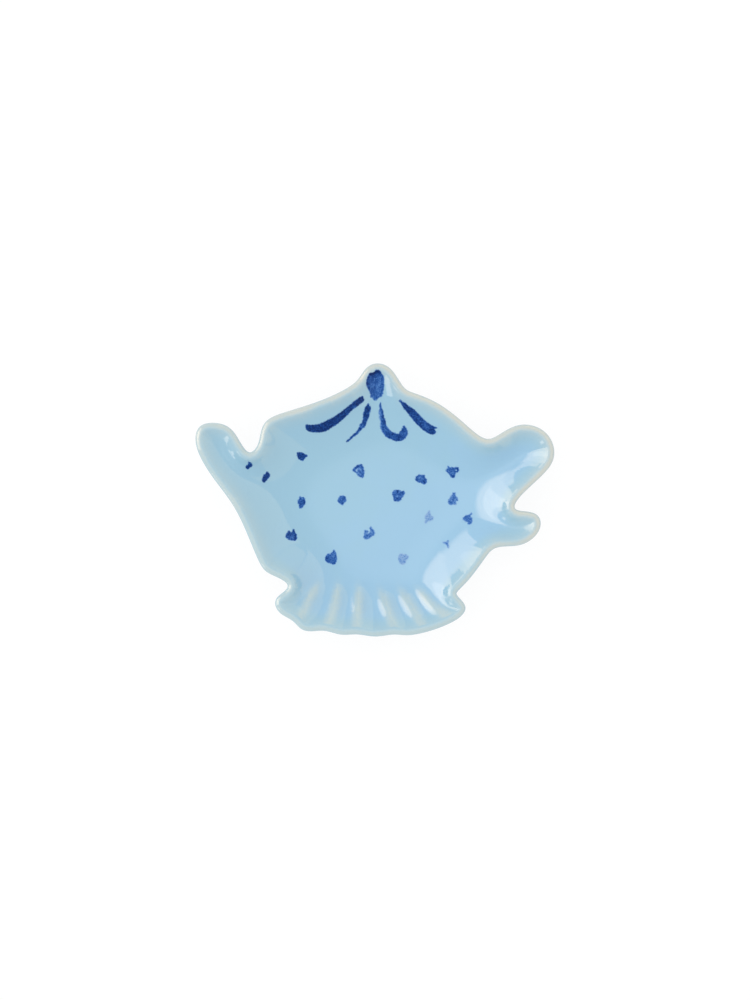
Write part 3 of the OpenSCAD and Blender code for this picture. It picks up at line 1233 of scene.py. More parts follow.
@dataclass
class GlazeCoat(Layer):
    """The glaze: the whole upper face, the lip, and the underside down to its foot.

    Attributes:
        across: Cells across a lobe.
        rings: Rings of cells from the rim to the standing oval.
        well_rings: Rings of cells inside that oval.
        lip_steps: Facets round the lip.
        crest_start: Where along a ridge's line its tint starts.
        under_run: How far down the outside the glaze has run thin, in millimetres.
        roll: How its lower edge rolls in: how far in and how high, in millimetres.
        roll_thin: How thin it is there.
    """

    across: int = 28
    rings: int = 22
    well_rings: int = 16
    lip_steps: int = 16
    crest_start: float = -0.1
    under_run: float = 1.8
    roll: tuple = ((0.16, 0.05), (0.27, 0.17), (0.3, 0.36))
    roll_thin: float = 0.7

    def build(self, finish: bpy.types.Material) -> bpy.types.Object:
        """Builds the glaze coat.

        Args:
            finish: The glaze's material.

        Returns:
            The piece.
        """
        plan, s = self.plan, self.plan.sizes
        draft = Draft(plan)
        shares = np.linspace(0, 1, self.rings + 1)
        top = Weave(plan, self.across, shares).fill(self.well_rings)
        crest = plan.crest(top.places, self.crest_start)
        tints = self.tints(plan.inset(top.places), crest)
        upper = draft.add_sheet(top, Side.UPPER, **tints)
        end = s.glaze_end_share
        lower = Weave(plan, self.across, np.append(shares[shares < end], end))
        sheet = lower.sheet()
        no_crest = np.zeros(len(sheet.places))
        tints = self.tints(plan.inset(sheet.places), no_crest, self.under_run)
        under = draft.add_sheet(sheet, Side.UNDER, **tints)
        draft.lip(upper, under, s.lip_r, self.lip_steps, thin=self.thin_share)
        edge = [under + i for i in lower.last]
        reach = lower.reach * (1 - end) + lower.oval(0) * end
        for drawn, rise in self.roll:
            places = plan.well + lower.ray * (reach - drawn)[:, None]
            edge = draft.row(
                places, edge, inset=plan.inset(places), crest=plan.crest(places),
                under=1.0, rise=rise, thin=self.roll_thin,
            )
        piece = self.shape.lift(
            "glaze_coat_visual", draft.object(), self.inputs(s.glaze_t), finish
        )
        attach(piece, "root")
        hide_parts("glaze_coat")
        return piece


@dataclass
class ClayBody(Layer):
    """The cast clay, of which the standing ring and the base inside it show.

    Attributes:
        across: Cells across a lobe.
        rings: Rings of cells from the rim to the standing oval.
        well_rings: Rings of cells inside that oval.
        base_rings: Rings of cells inside the standing ring.
        lip_steps: Facets round the lip, which the glaze hides.
        under_end: Where between rim and oval the underside ends at the ring.
    """

    # How toasted the wall, the ring's shoulder, the ring and the base are
    TOAST_WALL, TOAST_SHOULDER, TOAST_RING, TOAST_BASE = 1.0, 0.75, 0.25, 0.1
    # How far in from the oval the shoulder ends, in millimetres
    SHOULDER = 0.1
    # A distance from the rim at which the dish is level, in millimetres
    LEVEL = 99.0

    across: int = 8
    rings: int = 16
    well_rings: int = 8
    base_rings: int = 11
    lip_steps: int = 6
    under_end: float = 0.94

    def ring_profile(self) -> list:
        """The standing ring from its outer foot to its inner one.

        Returns:
            Pairs of how far in from the oval and the height in millimetres, where a
            height of None is the base's own.
        """
        s = self.plan.sizes
        face, draft = s.ring_face_w, s.ring_draft
        inner = face + draft
        return [
            (-0.55, None), (-0.15, None), (0.06, 1.35), (0.2, 0.9), (0.36, 0.42),
            (draft, 0.16), (draft + 0.16, 0.03), (draft + 0.4, 0.0),
            (draft + face / 2, 0.0), (inner - 0.4, 0.0), (inner - 0.16, 0.03),
            (inner, 0.16), (inner + 0.14, 0.42), (inner + 0.3, 0.9),
            (inner + 0.44, 1.35), (inner + 0.65, None), (inner + 1.1, None),
        ]

    def build(self, finish: bpy.types.Material) -> bpy.types.Object:
        """Builds the clay body.

        Args:
            finish: The clay's material.

        Returns:
            The piece.
        """
        plan, s = self.plan, self.plan.sizes
        draft = Draft(plan)
        weave = Weave(plan, self.across, np.linspace(0, 1, self.rings + 1))
        upper = draft.add_sheet(weave.fill(self.well_rings), Side.UPPER)
        lower = Weave(plan, self.across, np.linspace(0, self.under_end, self.rings))
        under = draft.add_sheet(lower.sheet(), Side.UNDER, toast=self.TOAST_WALL)
        row = [under + i for i in lower.last]
        profile = self.ring_profile()
        for drawn, height in profile:
            places = plan.well + lower.ray * lower.oval(drawn)[:, None]
            inset, crest = plan.inset(places), plan.crest(places)
            rise = np.zeros(len(places))
            if height is not None:
                rise = height - self._under_height(inset, crest)
            toast = self.TOAST_SHOULDER if drawn < self.SHOULDER else self.TOAST_RING
            row = draft.row(
                places, row, inset=inset, crest=crest, under=1.0, rise=rise, toast=toast
            )
        last = lower.oval(profile[-1][0])
        for share in np.linspace(1, 0, self.base_rings + 1)[1:-1]:
            places = plan.well + lower.ray * (last * share)[:, None]
            row = draft.row(places, row, inset=self.LEVEL, under=1.0, toast=self.TOAST_BASE)
        centre = draft.add(plan.well[None], inset=self.LEVEL, under=1.0)
        m = len(row)
        draft.faces += [[centre, row[(i + 1) % m], row[i]] for i in range(m)]
        draft.lip(upper, under, s.lip_r - s.glaze_t, self.lip_steps)
        base = self._under_height(np.array([self.LEVEL]), np.zeros(1))[0]
        LOG.info("the bare base lies %.2f mm above the table", base)
        piece = self.shape.lift(
            "clay_body_visual", draft.object(), self.inputs(0.0), finish
        )
        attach(piece, "root")
        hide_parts("clay_body")
        return piece

    def _under_height(self, inset: np.ndarray, crest: np.ndarray) -> np.ndarray:
        """The underside's height in millimetres, as the rule gives it.

        Args:
            inset: Distance from the rim in millimetres.
            crest: Height on a ridge, 0 to 1.

        Returns:
            The height at each place.
        """
        v = self.inputs(0.0)
        foot = v["Lip centre height"] + v["Lip radius"] * math.cos(v["Lip lean"])
        q = np.clip((inset * MM - v["Lip reach"]) / v["Wall width"], 0, 1)
        drop = 1 - (1 - q) ** 2
        steep = np.sqrt(1 + (math.tan(v["Lip lean"]) * (1 - q)) ** 2)
        wall = v["Wall thickness"] + (v["Floor thickness"] - v["Wall thickness"]) * drop
        fill = crest * v["Ridge share"] * v["Ridge under share"]
        return (foot - v["Well drop"] * drop * (1 - fill) - wall * steep) / MM


@dataclass(frozen=True)
class Mark:
    """What the brush left, in pixels of the photograph.

    Attributes:
        ink: How much cobalt, 0 faint to 1 navy.
        outline: Places round the ink, in order.
        spots: Places with more or less cobalt: x, y, a radius and how much more.
        holes: Places with none: x, y and a radius.
    """

    ink: float
    outline: tuple
    spots: tuple = ()
    holes: tuple = ()


@dataclass
class BrushMark(Layer):
    """A cobalt mark: a thin patch of glaze that lies on the coat and carries the ink.

    Attributes:
        mark: The mark.
        cell: Size of the patch's cells, in millimetres.
        margin: How far the patch reaches past the ink, in millimetres.
        lift_mm: How far it lies above the glaze.
        skirt: How far its edge runs down into the glaze, in millimetres.
    """

    # Places from one point of an outline to the next
    STEPS = 3
    # The ink pooled along its edge: how much, how wide in mm, and how many widths in
    POOL, POOL_W, POOL_AT = 0.07, 0.35, 0.6
    # How the patch's border is drawn out to its margin: how often, how far at a time as
    # a share of a cell, over what length a slope is taken, and what damps it
    ROUNDS, STRIDE, NUDGE, DAMP = 3, 0.7, 0.02, 0.05
    # The skirt's distance inside the ink, where there is none, in millimetres
    NO_INK = -1.0

    mark: Mark = None
    cell: float = 0.19
    margin: float = 0.6
    lift_mm: float = 0.02
    skirt: float = 0.06

    def __post_init__(self) -> None:
        """Works out the outline in millimetres."""
        loop = smooth_loop(self.plan.place(self.mark.outline), self.STEPS)
        self.loop = np.vstack([loop, loop[:1]])

    def reach(self, places: np.ndarray) -> np.ndarray:
        """How far inside the ink each place lies, in millimetres; under 0 is outside.

        Args:
            places: Plan places in millimetres, as rows.

        Returns:
            The distance to the ink's edge at each place.
        """
        far = off_line(places, self.loop)[0]
        start, way = self.loop[:-1], np.diff(self.loop, axis=0)
        y = places[:, 1, None]
        spans = (start[:, 1] > y) != (start[:, 1] + way[:, 1] > y)
        rise = np.where(way[:, 1] == 0, TINY, way[:, 1])
        meets = start[:, 0] + way[:, 0] * (y - start[:, 1]) / rise
        inside = (spans & (places[:, 0, None] < meets)).sum(1) % 2 == 1
        reach = np.where(inside, far, -far)
        for x, y, radius in self.mark.holes:
            gap = np.linalg.norm(places - self.plan.place((x, y)), axis=1)
            reach = np.minimum(reach, gap - radius * self.plan.px)
        return reach

    def load(self, places: np.ndarray, reach: np.ndarray) -> np.ndarray:
        """How much cobalt lies at each place: pooled at the edge, and more in spots.

        Args:
            places: Plan places in millimetres, as rows.
            reach: Their distances from the ink's edge.

        Returns:
            The load, about 0 to 1.
        """
        pooled = np.exp(-((reach / self.POOL_W - self.POOL_AT) ** 2))
        load = self.mark.ink + self.POOL * pooled
        for x, y, radius, more in self.mark.spots:
            gap = np.linalg.norm(places - self.plan.place((x, y)), axis=1)
            load += more * np.exp(-((gap / (radius * self.plan.px)) ** 2))
        return load

    def patch(self) -> Sheet:
        """The patch in plan: square cells within the margin, drawn out to its edge.

        Returns:
            The plan sheet.
        """
        pad = self.margin + self.cell
        low, high = self.loop.min(0) - pad, self.loop.max(0) + pad
        xs = np.arange(low[0], high[0] + self.cell, self.cell)
        ys = np.arange(low[1], high[1] + self.cell, self.cell)
        grid = np.stack(np.meshgrid(xs, ys, indexing="ij"), 2)
        flat = grid.reshape(-1, 2)
        inside = (self.reach(flat) > -self.margin).reshape(len(xs), len(ys))
        keep = inside[:-1, :-1] & inside[1:, :-1] & inside[1:, 1:] & inside[:-1, 1:]
        i, j = np.nonzero(keep)
        m = len(ys)
        first = i * m + j
        cells = np.stack([first, first + m, first + m + 1, first + 1], 1)
        used, packed = np.unique(cells, return_inverse=True)
        places = flat[used]
        faces = packed.reshape(-1, 4)
        border = np.bincount(faces.ravel(), minlength=len(used)) < 4
        p = places[border]
        nudge = self.NUDGE
        for _ in range(self.ROUNDS):
            across = self.reach(p + [nudge, 0]) - self.reach(p - [nudge, 0])
            along = self.reach(p + [0, nudge]) - self.reach(p - [0, nudge])
            slope = np.stack([across, along], 1) / (2 * nudge)
            size = (slope**2).sum(1)[:, None] + self.DAMP
            move = slope / size * (-self.margin - self.reach(p))[:, None]
            reach = np.linalg.norm(move, axis=1)[:, None]
            p = p + move * np.minimum(1, self.cell * self.STRIDE / (reach + TINY))
        places[border] = p
        return Sheet(places, faces.tolist())

    def draft(self, draft: Draft) -> None:
        """Adds the patch and a skirt that runs down into the glaze.

        Args:
            draft: What it is added to.
        """
        plan, s = self.plan, self.plan.sizes
        sheet = self.patch()
        inset, crest = plan.inset(sheet.places), plan.crest(sheet.places)
        gap = plan.lip_gap(sheet.places)
        on_lip = gap < s.lip_reach
        away = np.clip(gap / s.lip_r - 1, -1, 1)
        foot = s.lip_r * math.cos(math.radians(s.lip_lean))
        rise = np.where(on_lip, s.lip_r * np.sqrt(1 - away**2) - foot, 0.0)
        inset = np.where(on_lip, np.minimum(inset, s.lip_reach), inset)
        tints = self.tints(inset, crest)
        tints["thin"] = np.where(on_lip, self.thin_share(np.arccos(away)), tints["thin"])
        reach = self.reach(sheet.places)
        start = draft.add(
            sheet.places, inset=inset, crest=crest, rise=rise, **tints,
            ink_reach=reach, ink_load=self.load(sheet.places, reach),
        )
        draft.faces += [[start + c for c in f] for f in sheet.faces]
        sides = {(a, b) for f in sheet.faces for a, b in zip(f, f[1:] + f[:1])}
        edges = sorted(side for side in sides if side[::-1] not in sides)
        rim = sorted({a for a, _ in edges})
        low = draft.add(
            sheet.places[rim], inset=inset[rim], crest=crest[rim],
            rise=rise[rim] - self.skirt, ink_reach=self.NO_INK,
            thin=tints["thin"][rim], deep=tints["deep"][rim],
        )
        down = {a: low + k for k, a in enumerate(rim)}
        draft.faces += [[start + b, start + a, down[a], down[b]] for a, b in edges]
        draft.sharp |= {(start + min(e), start + max(e)) for e in edges}


LONG_LEFT = Mark(
    1.0,
    (
        (305.3, 424.2), (307.6, 424.5), (310.9, 424.4), (314.9, 424.3), (318.6, 423.5),
        (322.2, 422.2), (326.2, 420.2), (330.2, 418.1), (334.2, 415.9), (338.1, 413.2),
        (342.1, 410.4), (346.1, 407.2), (350.1, 404.1), (354.1, 400.9), (357.4, 398.3),
        (360.3, 396.3), (362.3, 395.5), (363.2, 397), (363.8, 398.6), (363.3, 400.6),
        (361.7, 402.3), (359.7, 403.3), (357.4, 405.6), (354.7, 407.6), (351.7, 409.6),
        (348.8, 412.9), (345.4, 415.9), (342.1, 419.2), (338.8, 421.8), (334.8, 424.8),
        (330.8, 427.1), (326.9, 429.8), (322.9, 431.3), (318.2, 431.8), (313.6, 431.5),
        (309.6, 431.1), (306.9, 429.8), (305.5, 428.5), (305.2, 426.2),
    ),
    spots=((354, 407, 2.4, -0.3), (346.5, 413.5, 2.2, -0.2), (334, 424.5, 2, -0.12)),
)
SHORT_LEFT = Mark(
    0.85,
    (
        (368.3, 402.8), (369.1, 403.7), (369.4, 405.3), (370.6, 407), (370.3, 409.6),
        (369.3, 412.3), (369.1, 415.6), (367.9, 418.3), (366.6, 421), (365.6, 424.6),
        (364.3, 426.6), (362, 428.3), (360, 430.2), (357.6, 432.9), (355, 435.2),
        (352.3, 436.9), (350, 439.2), (347.7, 441), (346, 441.4), (346.3, 440.1),
        (348.7, 438.6), (350.3, 436.2), (352.7, 434.2), (355, 432.2), (357.3, 429.6),
        (359, 426.9), (359.6, 423.9), (361.3, 422.9), (362.3, 419.6), (363, 417),
        (363, 413.3), (364, 410.3), (365, 406.6), (366.6, 405.3), (367.2, 403.8),
    ),
    spots=(
        (367.5, 408, 3, 0.14), (366, 414, 3, 0.1), (361.5, 426, 2, -0.22),
        (357, 430.5, 2.4, -0.15), (350, 437.5, 2, -0.05), (363.5, 418, 1.5, -0.1),
    ),
)
HOOKED = Mark(
    0.76,
    (
        (380.5, 401.8), (381, 403.7), (381.2, 406.3), (382, 409), (382.9, 410.3),
        (383.4, 413.6), (384.2, 416.9), (385.4, 420.2), (385.8, 423.2), (386.8, 425.5),
        (388.2, 427.9), (390.2, 430.2), (392.2, 431.7), (394.8, 432.2), (397.1, 433.2),
        (398.5, 433.7), (399.1, 432.6), (400.5, 430.2), (402, 428.6), (402.8, 426.2),
        (404, 425), (405.1, 426.2), (406.4, 427.9), (407.6, 430.2), (407.4, 433.5),
        (406.4, 436.2), (405.1, 437.8), (402.8, 439.8), (400.2, 440.5), (396.5, 440.5),
        (394.8, 440.2), (391.5, 439), (388.2, 437.5), (385.5, 435.5), (383.5, 433.2),
        (381.9, 430.2), (380.3, 427.5), (380.1, 424.9), (380.3, 421.5), (379.2, 417.6),
        (379, 414.2), (378.5, 410.3), (379.7, 408.3), (379.4, 405.6), (379.7, 403),
    ),
    spots=(
        (379.2, 411, 1.7, -0.5), (379.3, 414.5, 1.7, -0.5), (379.8, 418, 1.7, -0.5),
        (380, 421.5, 1.6, -0.5), (380.2, 425, 1.6, -0.45), (381, 428.5, 1.5, -0.25),
        (382.2, 411, 1.6, 0.22), (383, 416, 1.6, 0.2), (384, 421, 1.6, 0.2),
        (386, 428, 2.4, -0.12), (391, 435, 2.5, 0.06), (398, 437, 2.5, 0.12),
        (403, 437, 2, 0.08), (402, 432, 1.6, -0.1), (404.5, 427.5, 1.6, 0.1),
    ),
)
LONG_RIGHT = Mark(
    0.88,
    (
        (399.4, 399.2), (400.7, 399.7), (402.4, 401.2), (404.7, 402), (406.7, 403.7),
        (409.1, 406), (412.4, 407.6), (415, 410), (417.7, 413), (421, 415.9),
        (423.7, 418.9), (427, 421.6), (430.3, 423.9), (433.6, 425.8), (436, 426.3),
        (437, 427.3), (435.6, 428.3), (434.2, 428.6), (435.3, 429.6), (436.1, 431.3),
        (435.3, 432.6), (433.3, 433.9), (430.3, 433.3), (427, 431.8), (424, 429.9),
        (420.3, 426.9), (417.7, 424.6), (414.4, 421), (411.7, 417.6), (409, 414.3),
        (406.7, 411), (403.7, 408.3), (402, 404.7), (400.4, 402), (398.9, 400.5),
    ),
    spots=(
        (426, 426, 3.2, -0.16), (419, 421, 2.6, -0.08), (432, 431, 1.8, 0.1),
        (411, 411, 3, 0.08), (430, 426, 1.8, 0.08), (406, 406, 2.5, 0.08),
    ),
)
KNOB = Mark(
    0.66,
    (
        (375.2, 370), (376.8, 369.4), (378.8, 369.5), (380.5, 371.3), (382.1, 374),
        (383.5, 376), (383.9, 379.3), (383.8, 384.3), (383.5, 388.2), (382.8, 392.9),
        (381.5, 395.5), (379.2, 396.9), (377.2, 398.5), (375.5, 400.1), (373.8, 399.2),
        (372.2, 397.2), (370, 396.9), (370.4, 394.9), (369.9, 392.2), (368.5, 389.6),
        (367, 386.6), (366.1, 383.9), (366.2, 380.6), (367, 377.6), (367.9, 375),
        (368.9, 373), (370.5, 372.2), (373.2, 372),
    ),
    spots=(
        (370, 373.5, 2.2, 0.5), (374, 372, 2.4, 0.4), (378, 370.5, 2.4, 0.5),
        (381, 373, 1.8, 0.25), (367.5, 378, 2.2, 0.28), (367, 383, 2.2, 0.25),
        (368.5, 387.5, 2, 0.2), (374.5, 375.5, 3.2, 0.16), (372.3, 379.3, 1.5, 0.16),
        (376.3, 381.3, 1.4, 0.16), (374.2, 380, 1.2, -0.18), (378, 385.3, 1.8, -0.22),
        (379.6, 382.5, 1.7, -0.14), (373, 385, 1.8, -0.1), (376, 391.5, 1.3, 0.14),
        (371.7, 391, 1.6, 0.14), (373.6, 388, 1.3, 0.1), (381.5, 388, 2, -0.05),
    ),
)
DABS = (
    Mark(
        0.97,
        (
            (248.3, 461.3), (249.8, 462.3), (251.2, 463), (251.9, 464.5), (251.3, 465.9),
            (249.9, 467.1), (248.2, 468.4), (246.8, 468.8), (245.6, 468.1),
            (245.2, 466.5), (246, 465.2), (247.5, 464.3), (247.9, 463.3), (247.7, 462.1),
        ),
        spots=((249, 463.2, 1.2, -0.2),),
    ),
    Mark(
        0.95,
        (
            (266.5, 471.1), (267.4, 471.5), (267.9, 472.8), (269, 473.4), (269.2, 475.1),
            (268.4, 477.1), (267.1, 478.6), (265.8, 480.1), (264.6, 481.5), (263, 481.9),
            (261.8, 481.1), (261.7, 479), (262.1, 476.5), (263, 474.8), (264.6, 473.7),
            (265.4, 472.6), (265.8, 471.5),
        ),
        spots=((263.5, 475.5, 1.8, -0.1), (263.5, 479.5, 1.5, 0.08)),
    ),
    Mark(
        0.86,
        (
            (297, 452.1), (299.8, 451.9), (302.3, 452.3), (304.2, 453.7), (306.2, 454.3),
            (307, 455.4), (306.2, 456.5), (304.8, 456.9), (304.2, 458.6), (302.8, 459.8),
            (301.2, 460.1), (299.2, 459.3), (297.6, 457.6), (296.7, 455.9),
            (296.4, 453.7),
        ),
        spots=((305.6, 455.4, 1.1, 0.15), (298.5, 453.5, 1.6, 0.1), (300, 457, 1.5, 0.08)),
    ),
    Mark(
        0.66,
        (
            (352, 470), (353.5, 467.8), (355.4, 465.9), (357.4, 464.7), (359.9, 463.8),
            (361.8, 464.2), (362.7, 466.2), (363.7, 468.7), (364.2, 471.4),
            (363.9, 474.2), (362.9, 477.3), (361.6, 477.3), (359.6, 476.4),
            (357.4, 474.7), (356, 472.6), (354.3, 471.3),
        ),
        spots=(
            (357.2, 468.9, 1.0, -0.45), (356.5, 470.2, 1.1, -0.6), (358.7, 468.1, 1, -0.45),
            (360.4, 470.2, 1.0, -0.4), (360.1, 468.8, 0.9, -0.3), (358.5, 470, 0.8, 0.35),
            (357.9, 472.8, 0.9, -0.25), (360.2, 473.8, 0.9, -0.2), (361.4, 473.3, 1, 0.25),
            (357.5, 466.3, 1.5, 0.1), (354, 469.5, 1.3, 0.08), (360, 471.5, 0.8, 0.15),
        ),
    ),
    Mark(
        0.66,
        (
            (419.6, 473.8), (421, 474.6), (422.4, 475), (424.1, 474.4), (425, 475.2),
            (425.3, 477.4), (426.8, 479.1), (427.1, 481), (426, 483.2), (424.3, 483.9),
            (422.4, 483.2), (420, 482.2), (417.9, 481.8), (415.9, 480.2), (415.7, 478.2),
            (416.3, 476.3), (417.9, 475.4), (418.5, 474.2),
        ),
        spots=(
            (416.9, 478.6, 1.2, 0.2), (423.8, 480.6, 1.6, 0.2), (424.4, 475.6, 1.2, 0.08),
            (422.5, 477, 1.6, -0.08), (419, 477, 1.6, -0.05), (423.5, 482.8, 1.4, 0.1),
        ),
    ),
    Mark(
        0.65,
        (
            (448.6, 465.7), (449.6, 466.6), (450.1, 467.4), (452.1, 467), (454.6, 467),
            (456.8, 466.8), (458.7, 467.4), (459.2, 469.4), (458.7, 471.3),
            (457.1, 472.2), (455.9, 472), (455.6, 474.4), (454.8, 476.6), (453.2, 477.9),
            (451.5, 476.9), (450.7, 475.5), (449, 473.6), (447.3, 471.6), (446.2, 470.2),
            (447.1, 468.8), (447.8, 467.7), (447.9, 466.3),
        ),
        spots=(
            (458, 468, 1.2, 0.2), (456.6, 471.3, 1.2, 0.15), (453, 468.5, 1.8, 0.1),
            (453.2, 476, 1.4, 0.12), (452.7, 472.3, 1.1, -0.14), (447.3, 470, 1.2, 0.06),
        ),
        holes=((456.5, 469.6, 0.75),),
    ),
    Mark(
        0.68,
        (
            (299.4, 496.3), (301.1, 496.9), (302.7, 496.8), (304, 498), (304.4, 499.7),
            (305.1, 501.6), (304.4, 503.6), (303.3, 505.2), (302.6, 506.9),
            (301.1, 507.7), (299.4, 507.9), (298.7, 506.6), (298.6, 504.7),
            (297.6, 503.3), (297, 501.3), (298, 499.7), (298.6, 497.7),
        ),
        spots=(
            (301, 498, 1.8, -0.1), (300.5, 504, 1.7, 0.14), (303.6, 502, 1.4, 0.1),
            (301.5, 501.5, 1.4, 0.06),
        ),
    ),
    Mark(
        0.58,
        (
            (341.8, 494.9), (343.1, 495.6), (344.9, 496.1), (345.6, 497.8), (346, 499.7),
            (345.3, 501.4), (344.1, 502.5), (343.1, 504.2), (341.6, 504.6),
            (339.9, 503.4), (338.2, 503.1), (337.6, 500.8), (337.8, 498.3),
            (339.1, 496.4), (340.7, 495.6),
        ),
        spots=(
            (342.2, 499.3, 1.3, 0.2), (344.4, 497.5, 1.0, 0.16), (341.8, 502.5, 1.3, 0.1),
            (339.5, 500.5, 1.2, -0.08), (341.5, 496.8, 1, -0.05),
        ),
    ),
    Mark(
        0.65,
        (
            (395.1, 489.8), (397.6, 489.6), (399.8, 489.9), (401.2, 491), (403.2, 490.4),
            (404.6, 491.8), (404.6, 493.8), (403.4, 495.7), (401.8, 497.9),
            (400.9, 499.9), (399.3, 501), (396.5, 501.3), (394.3, 501), (393.7, 499.3),
            (393.2, 496.8), (392.4, 494.9), (392.3, 492.7), (393.4, 490.7),
        ),
        spots=(
            (397.5, 491.6, 1.0, 0.35), (397.4, 498.3, 1.1, 0.25), (395.9, 494.6, 1.2, 0.12),
            (402.6, 492.5, 1.2, 0.1), (400, 491.3, 0.9, -0.12), (397.6, 496, 1.0, -0.14),
            (399.6, 494.4, 1.2, 0.08), (395, 492, 1, -0.08),
        ),
    ),
    Mark(
        0.45,
        (
            (454.3, 492), (455.9, 492.8), (456.1, 495.1), (456.8, 496.9), (458.1, 497.6),
            (458.3, 499.2), (457.7, 500.9), (456, 501.7), (456.6, 503.4), (455.6, 504.6),
            (453.5, 504.3), (451.6, 504.8), (449.6, 504.2), (448.5, 502.6),
            (448.5, 500.1), (449.9, 498.4), (450.2, 496.4), (451.6, 495.6),
            (452.6, 493.9), (452.9, 492.6),
        ),
        spots=(
            (454.2, 494, 1.4, 0.16), (454.2, 497.8, 1.2, 0.14), (451.4, 502.3, 1.3, 0.3),
            (454, 500.3, 1.4, 0.12), (451.3, 497.5, 1.1, -0.12), (452, 500.5, 0.9, -0.15),
            (455.3, 503.5, 1.2, -0.15), (449.5, 501, 1, 0.05),
        ),
    ),
    Mark(
        0.12,
        (
            (429.4, 510.6), (430.4, 511.9), (430.5, 514.2), (431.6, 515.6),
            (433.3, 516.4), (433.8, 518.1), (432.7, 519.7), (430.8, 520.6),
            (428.6, 521.1), (426.9, 522.5), (425.2, 523.1), (424.9, 521.7),
            (425.8, 519.7), (425.2, 517.8), (425.8, 515.6), (427, 513.6), (428.3, 511.9),
        ),
        spots=((429.7, 518.4, 1.5, 0.1), (429.5, 515, 1.2, 0.05)),
    ),
    Mark(
        0.5,
        (
            (471.8, 512.6), (472.4, 513.6), (471.5, 515.1), (471.2, 516.7),
            (472.6, 517.8), (472.9, 520.1), (472.2, 522.3), (470.9, 523.9),
            (469.3, 524.5), (467.9, 523.7), (468.2, 522), (466.2, 521.6), (464.3, 520.3),
            (463, 518.7), (464, 517.3), (465.4, 516.2), (466.5, 514.7), (467.8, 515.3),
            (469.3, 514.8), (470.7, 513.4),
        ),
        spots=(
            (468.2, 518.4, 1.5, 0.16), (469.4, 523, 1.4, 0.14), (471, 519, 1.2, 0.08),
            (469, 516, 1.1, 0.08), (466, 519.5, 1.1, -0.06),
        ),
    ),
    Mark(
        0.74,
        (
            (292.6, 529.1), (293.8, 529.7), (294.2, 531.4), (295.2, 533.4),
            (296.2, 535.1), (296.2, 538.1), (295.7, 539.9), (293.3, 540.6),
            (290.8, 540.1), (288.6, 539.9), (286.6, 538.4), (284.9, 536.4),
            (285.5, 534.5), (286.6, 532.8), (287.2, 531.3), (288.8, 530.8),
            (289.9, 531.9), (291.2, 532), (291.9, 530.6),
        ),
        spots=(
            (295, 535.5, 1.5, 0.2), (295, 538.3, 1.3, 0.2), (293.2, 531, 1.5, 0.2),
            (288.3, 532.6, 1.4, 0.08), (291.5, 537, 2.2, -0.06),
        ),
    ),
    Mark(
        0.45,
        (
            (370.5, 526.7), (371.9, 527.8), (373.3, 529.7), (374.6, 532.2),
            (374.6, 533.9), (373.6, 535.6), (371.6, 535.8), (370.9, 537.5),
            (369.1, 538.6), (366.6, 539.3), (364.4, 538.6), (363.3, 536.9), (364.1, 535),
            (364, 532.5), (364.1, 530.3), (365.2, 529.7), (366.3, 530.3), (368, 530.8),
            (368.4, 531.9), (366.9, 533.1), (368, 533.6), (369.1, 532.8), (369.9, 531.1),
            (370.1, 529.4), (369.4, 527.8),
        ),
        spots=(
            (367.4, 535.6, 1.3, 0.26), (372.2, 530.3, 1.2, 0.16), (369.6, 534.4, 1.1, 0.12),
            (365.2, 531.3, 1.1, 0.12), (366.5, 538, 1.2, 0.1), (373.3, 533.5, 1.2, -0.08),
            (366.7, 532.7, 0.9, -0.3),
        ),
    ),
    Mark(
        0.27,
        (
            (448, 540), (449, 540.7), (448.7, 542.2), (448.3, 543.6), (449.1, 545),
            (449.4, 547.2), (448.6, 548.1), (447.4, 546.7), (446.6, 545), (445.2, 544.2),
            (443.3, 543.2), (442.7, 542.2), (443.8, 541.7), (446.1, 541.9), (447.2, 541.1),
        ),
        spots=((447, 543.2, 1.3, 0.1),),
    ),
    Mark(
        0.62,
        (
            (333.4, 549.8), (334.6, 551.2), (335.7, 553.4), (336.1, 556.2), (336.8, 559),
            (336.1, 561.8), (335.3, 563.7), (333.6, 564.6), (331.3, 564), (328.6, 563.4),
            (326.1, 562.1), (324.6, 559.6), (324.9, 557.1), (326.3, 555.1), (328, 553.7),
            (329.9, 554.3), (330.8, 552.9), (332.4, 551.8),
        ),
        spots=(
            (327.2, 558.5, 1.8, 0.18), (328.5, 555.8, 1.2, 0.1), (331, 561.3, 1.8, 0.1),
            (333.6, 563.2, 1.2, 0.08), (333.5, 553, 1.8, -0.08), (332.5, 557, 1.6, -0.06),
            (335, 559, 1.4, -0.04),
        ),
    ),
    Mark(
        0.09,
        (
            (400.3, 553.9), (402.6, 553.9), (403.7, 555), (405.3, 554.1), (407.3, 555.3),
            (408.8, 557.2), (407.3, 559.4), (406, 561.1), (405.6, 563.1), (403.7, 564.7),
            (401.4, 564.4), (399.8, 562.8), (398.7, 560.3), (398.4, 558.1),
            (399.2, 555.8),
        ),
        spots=((403, 560.5, 1.8, 0.12), (404.5, 556, 1.6, 0.06), (400.5, 559.5, 1.5, 0.05)),
    ),
)


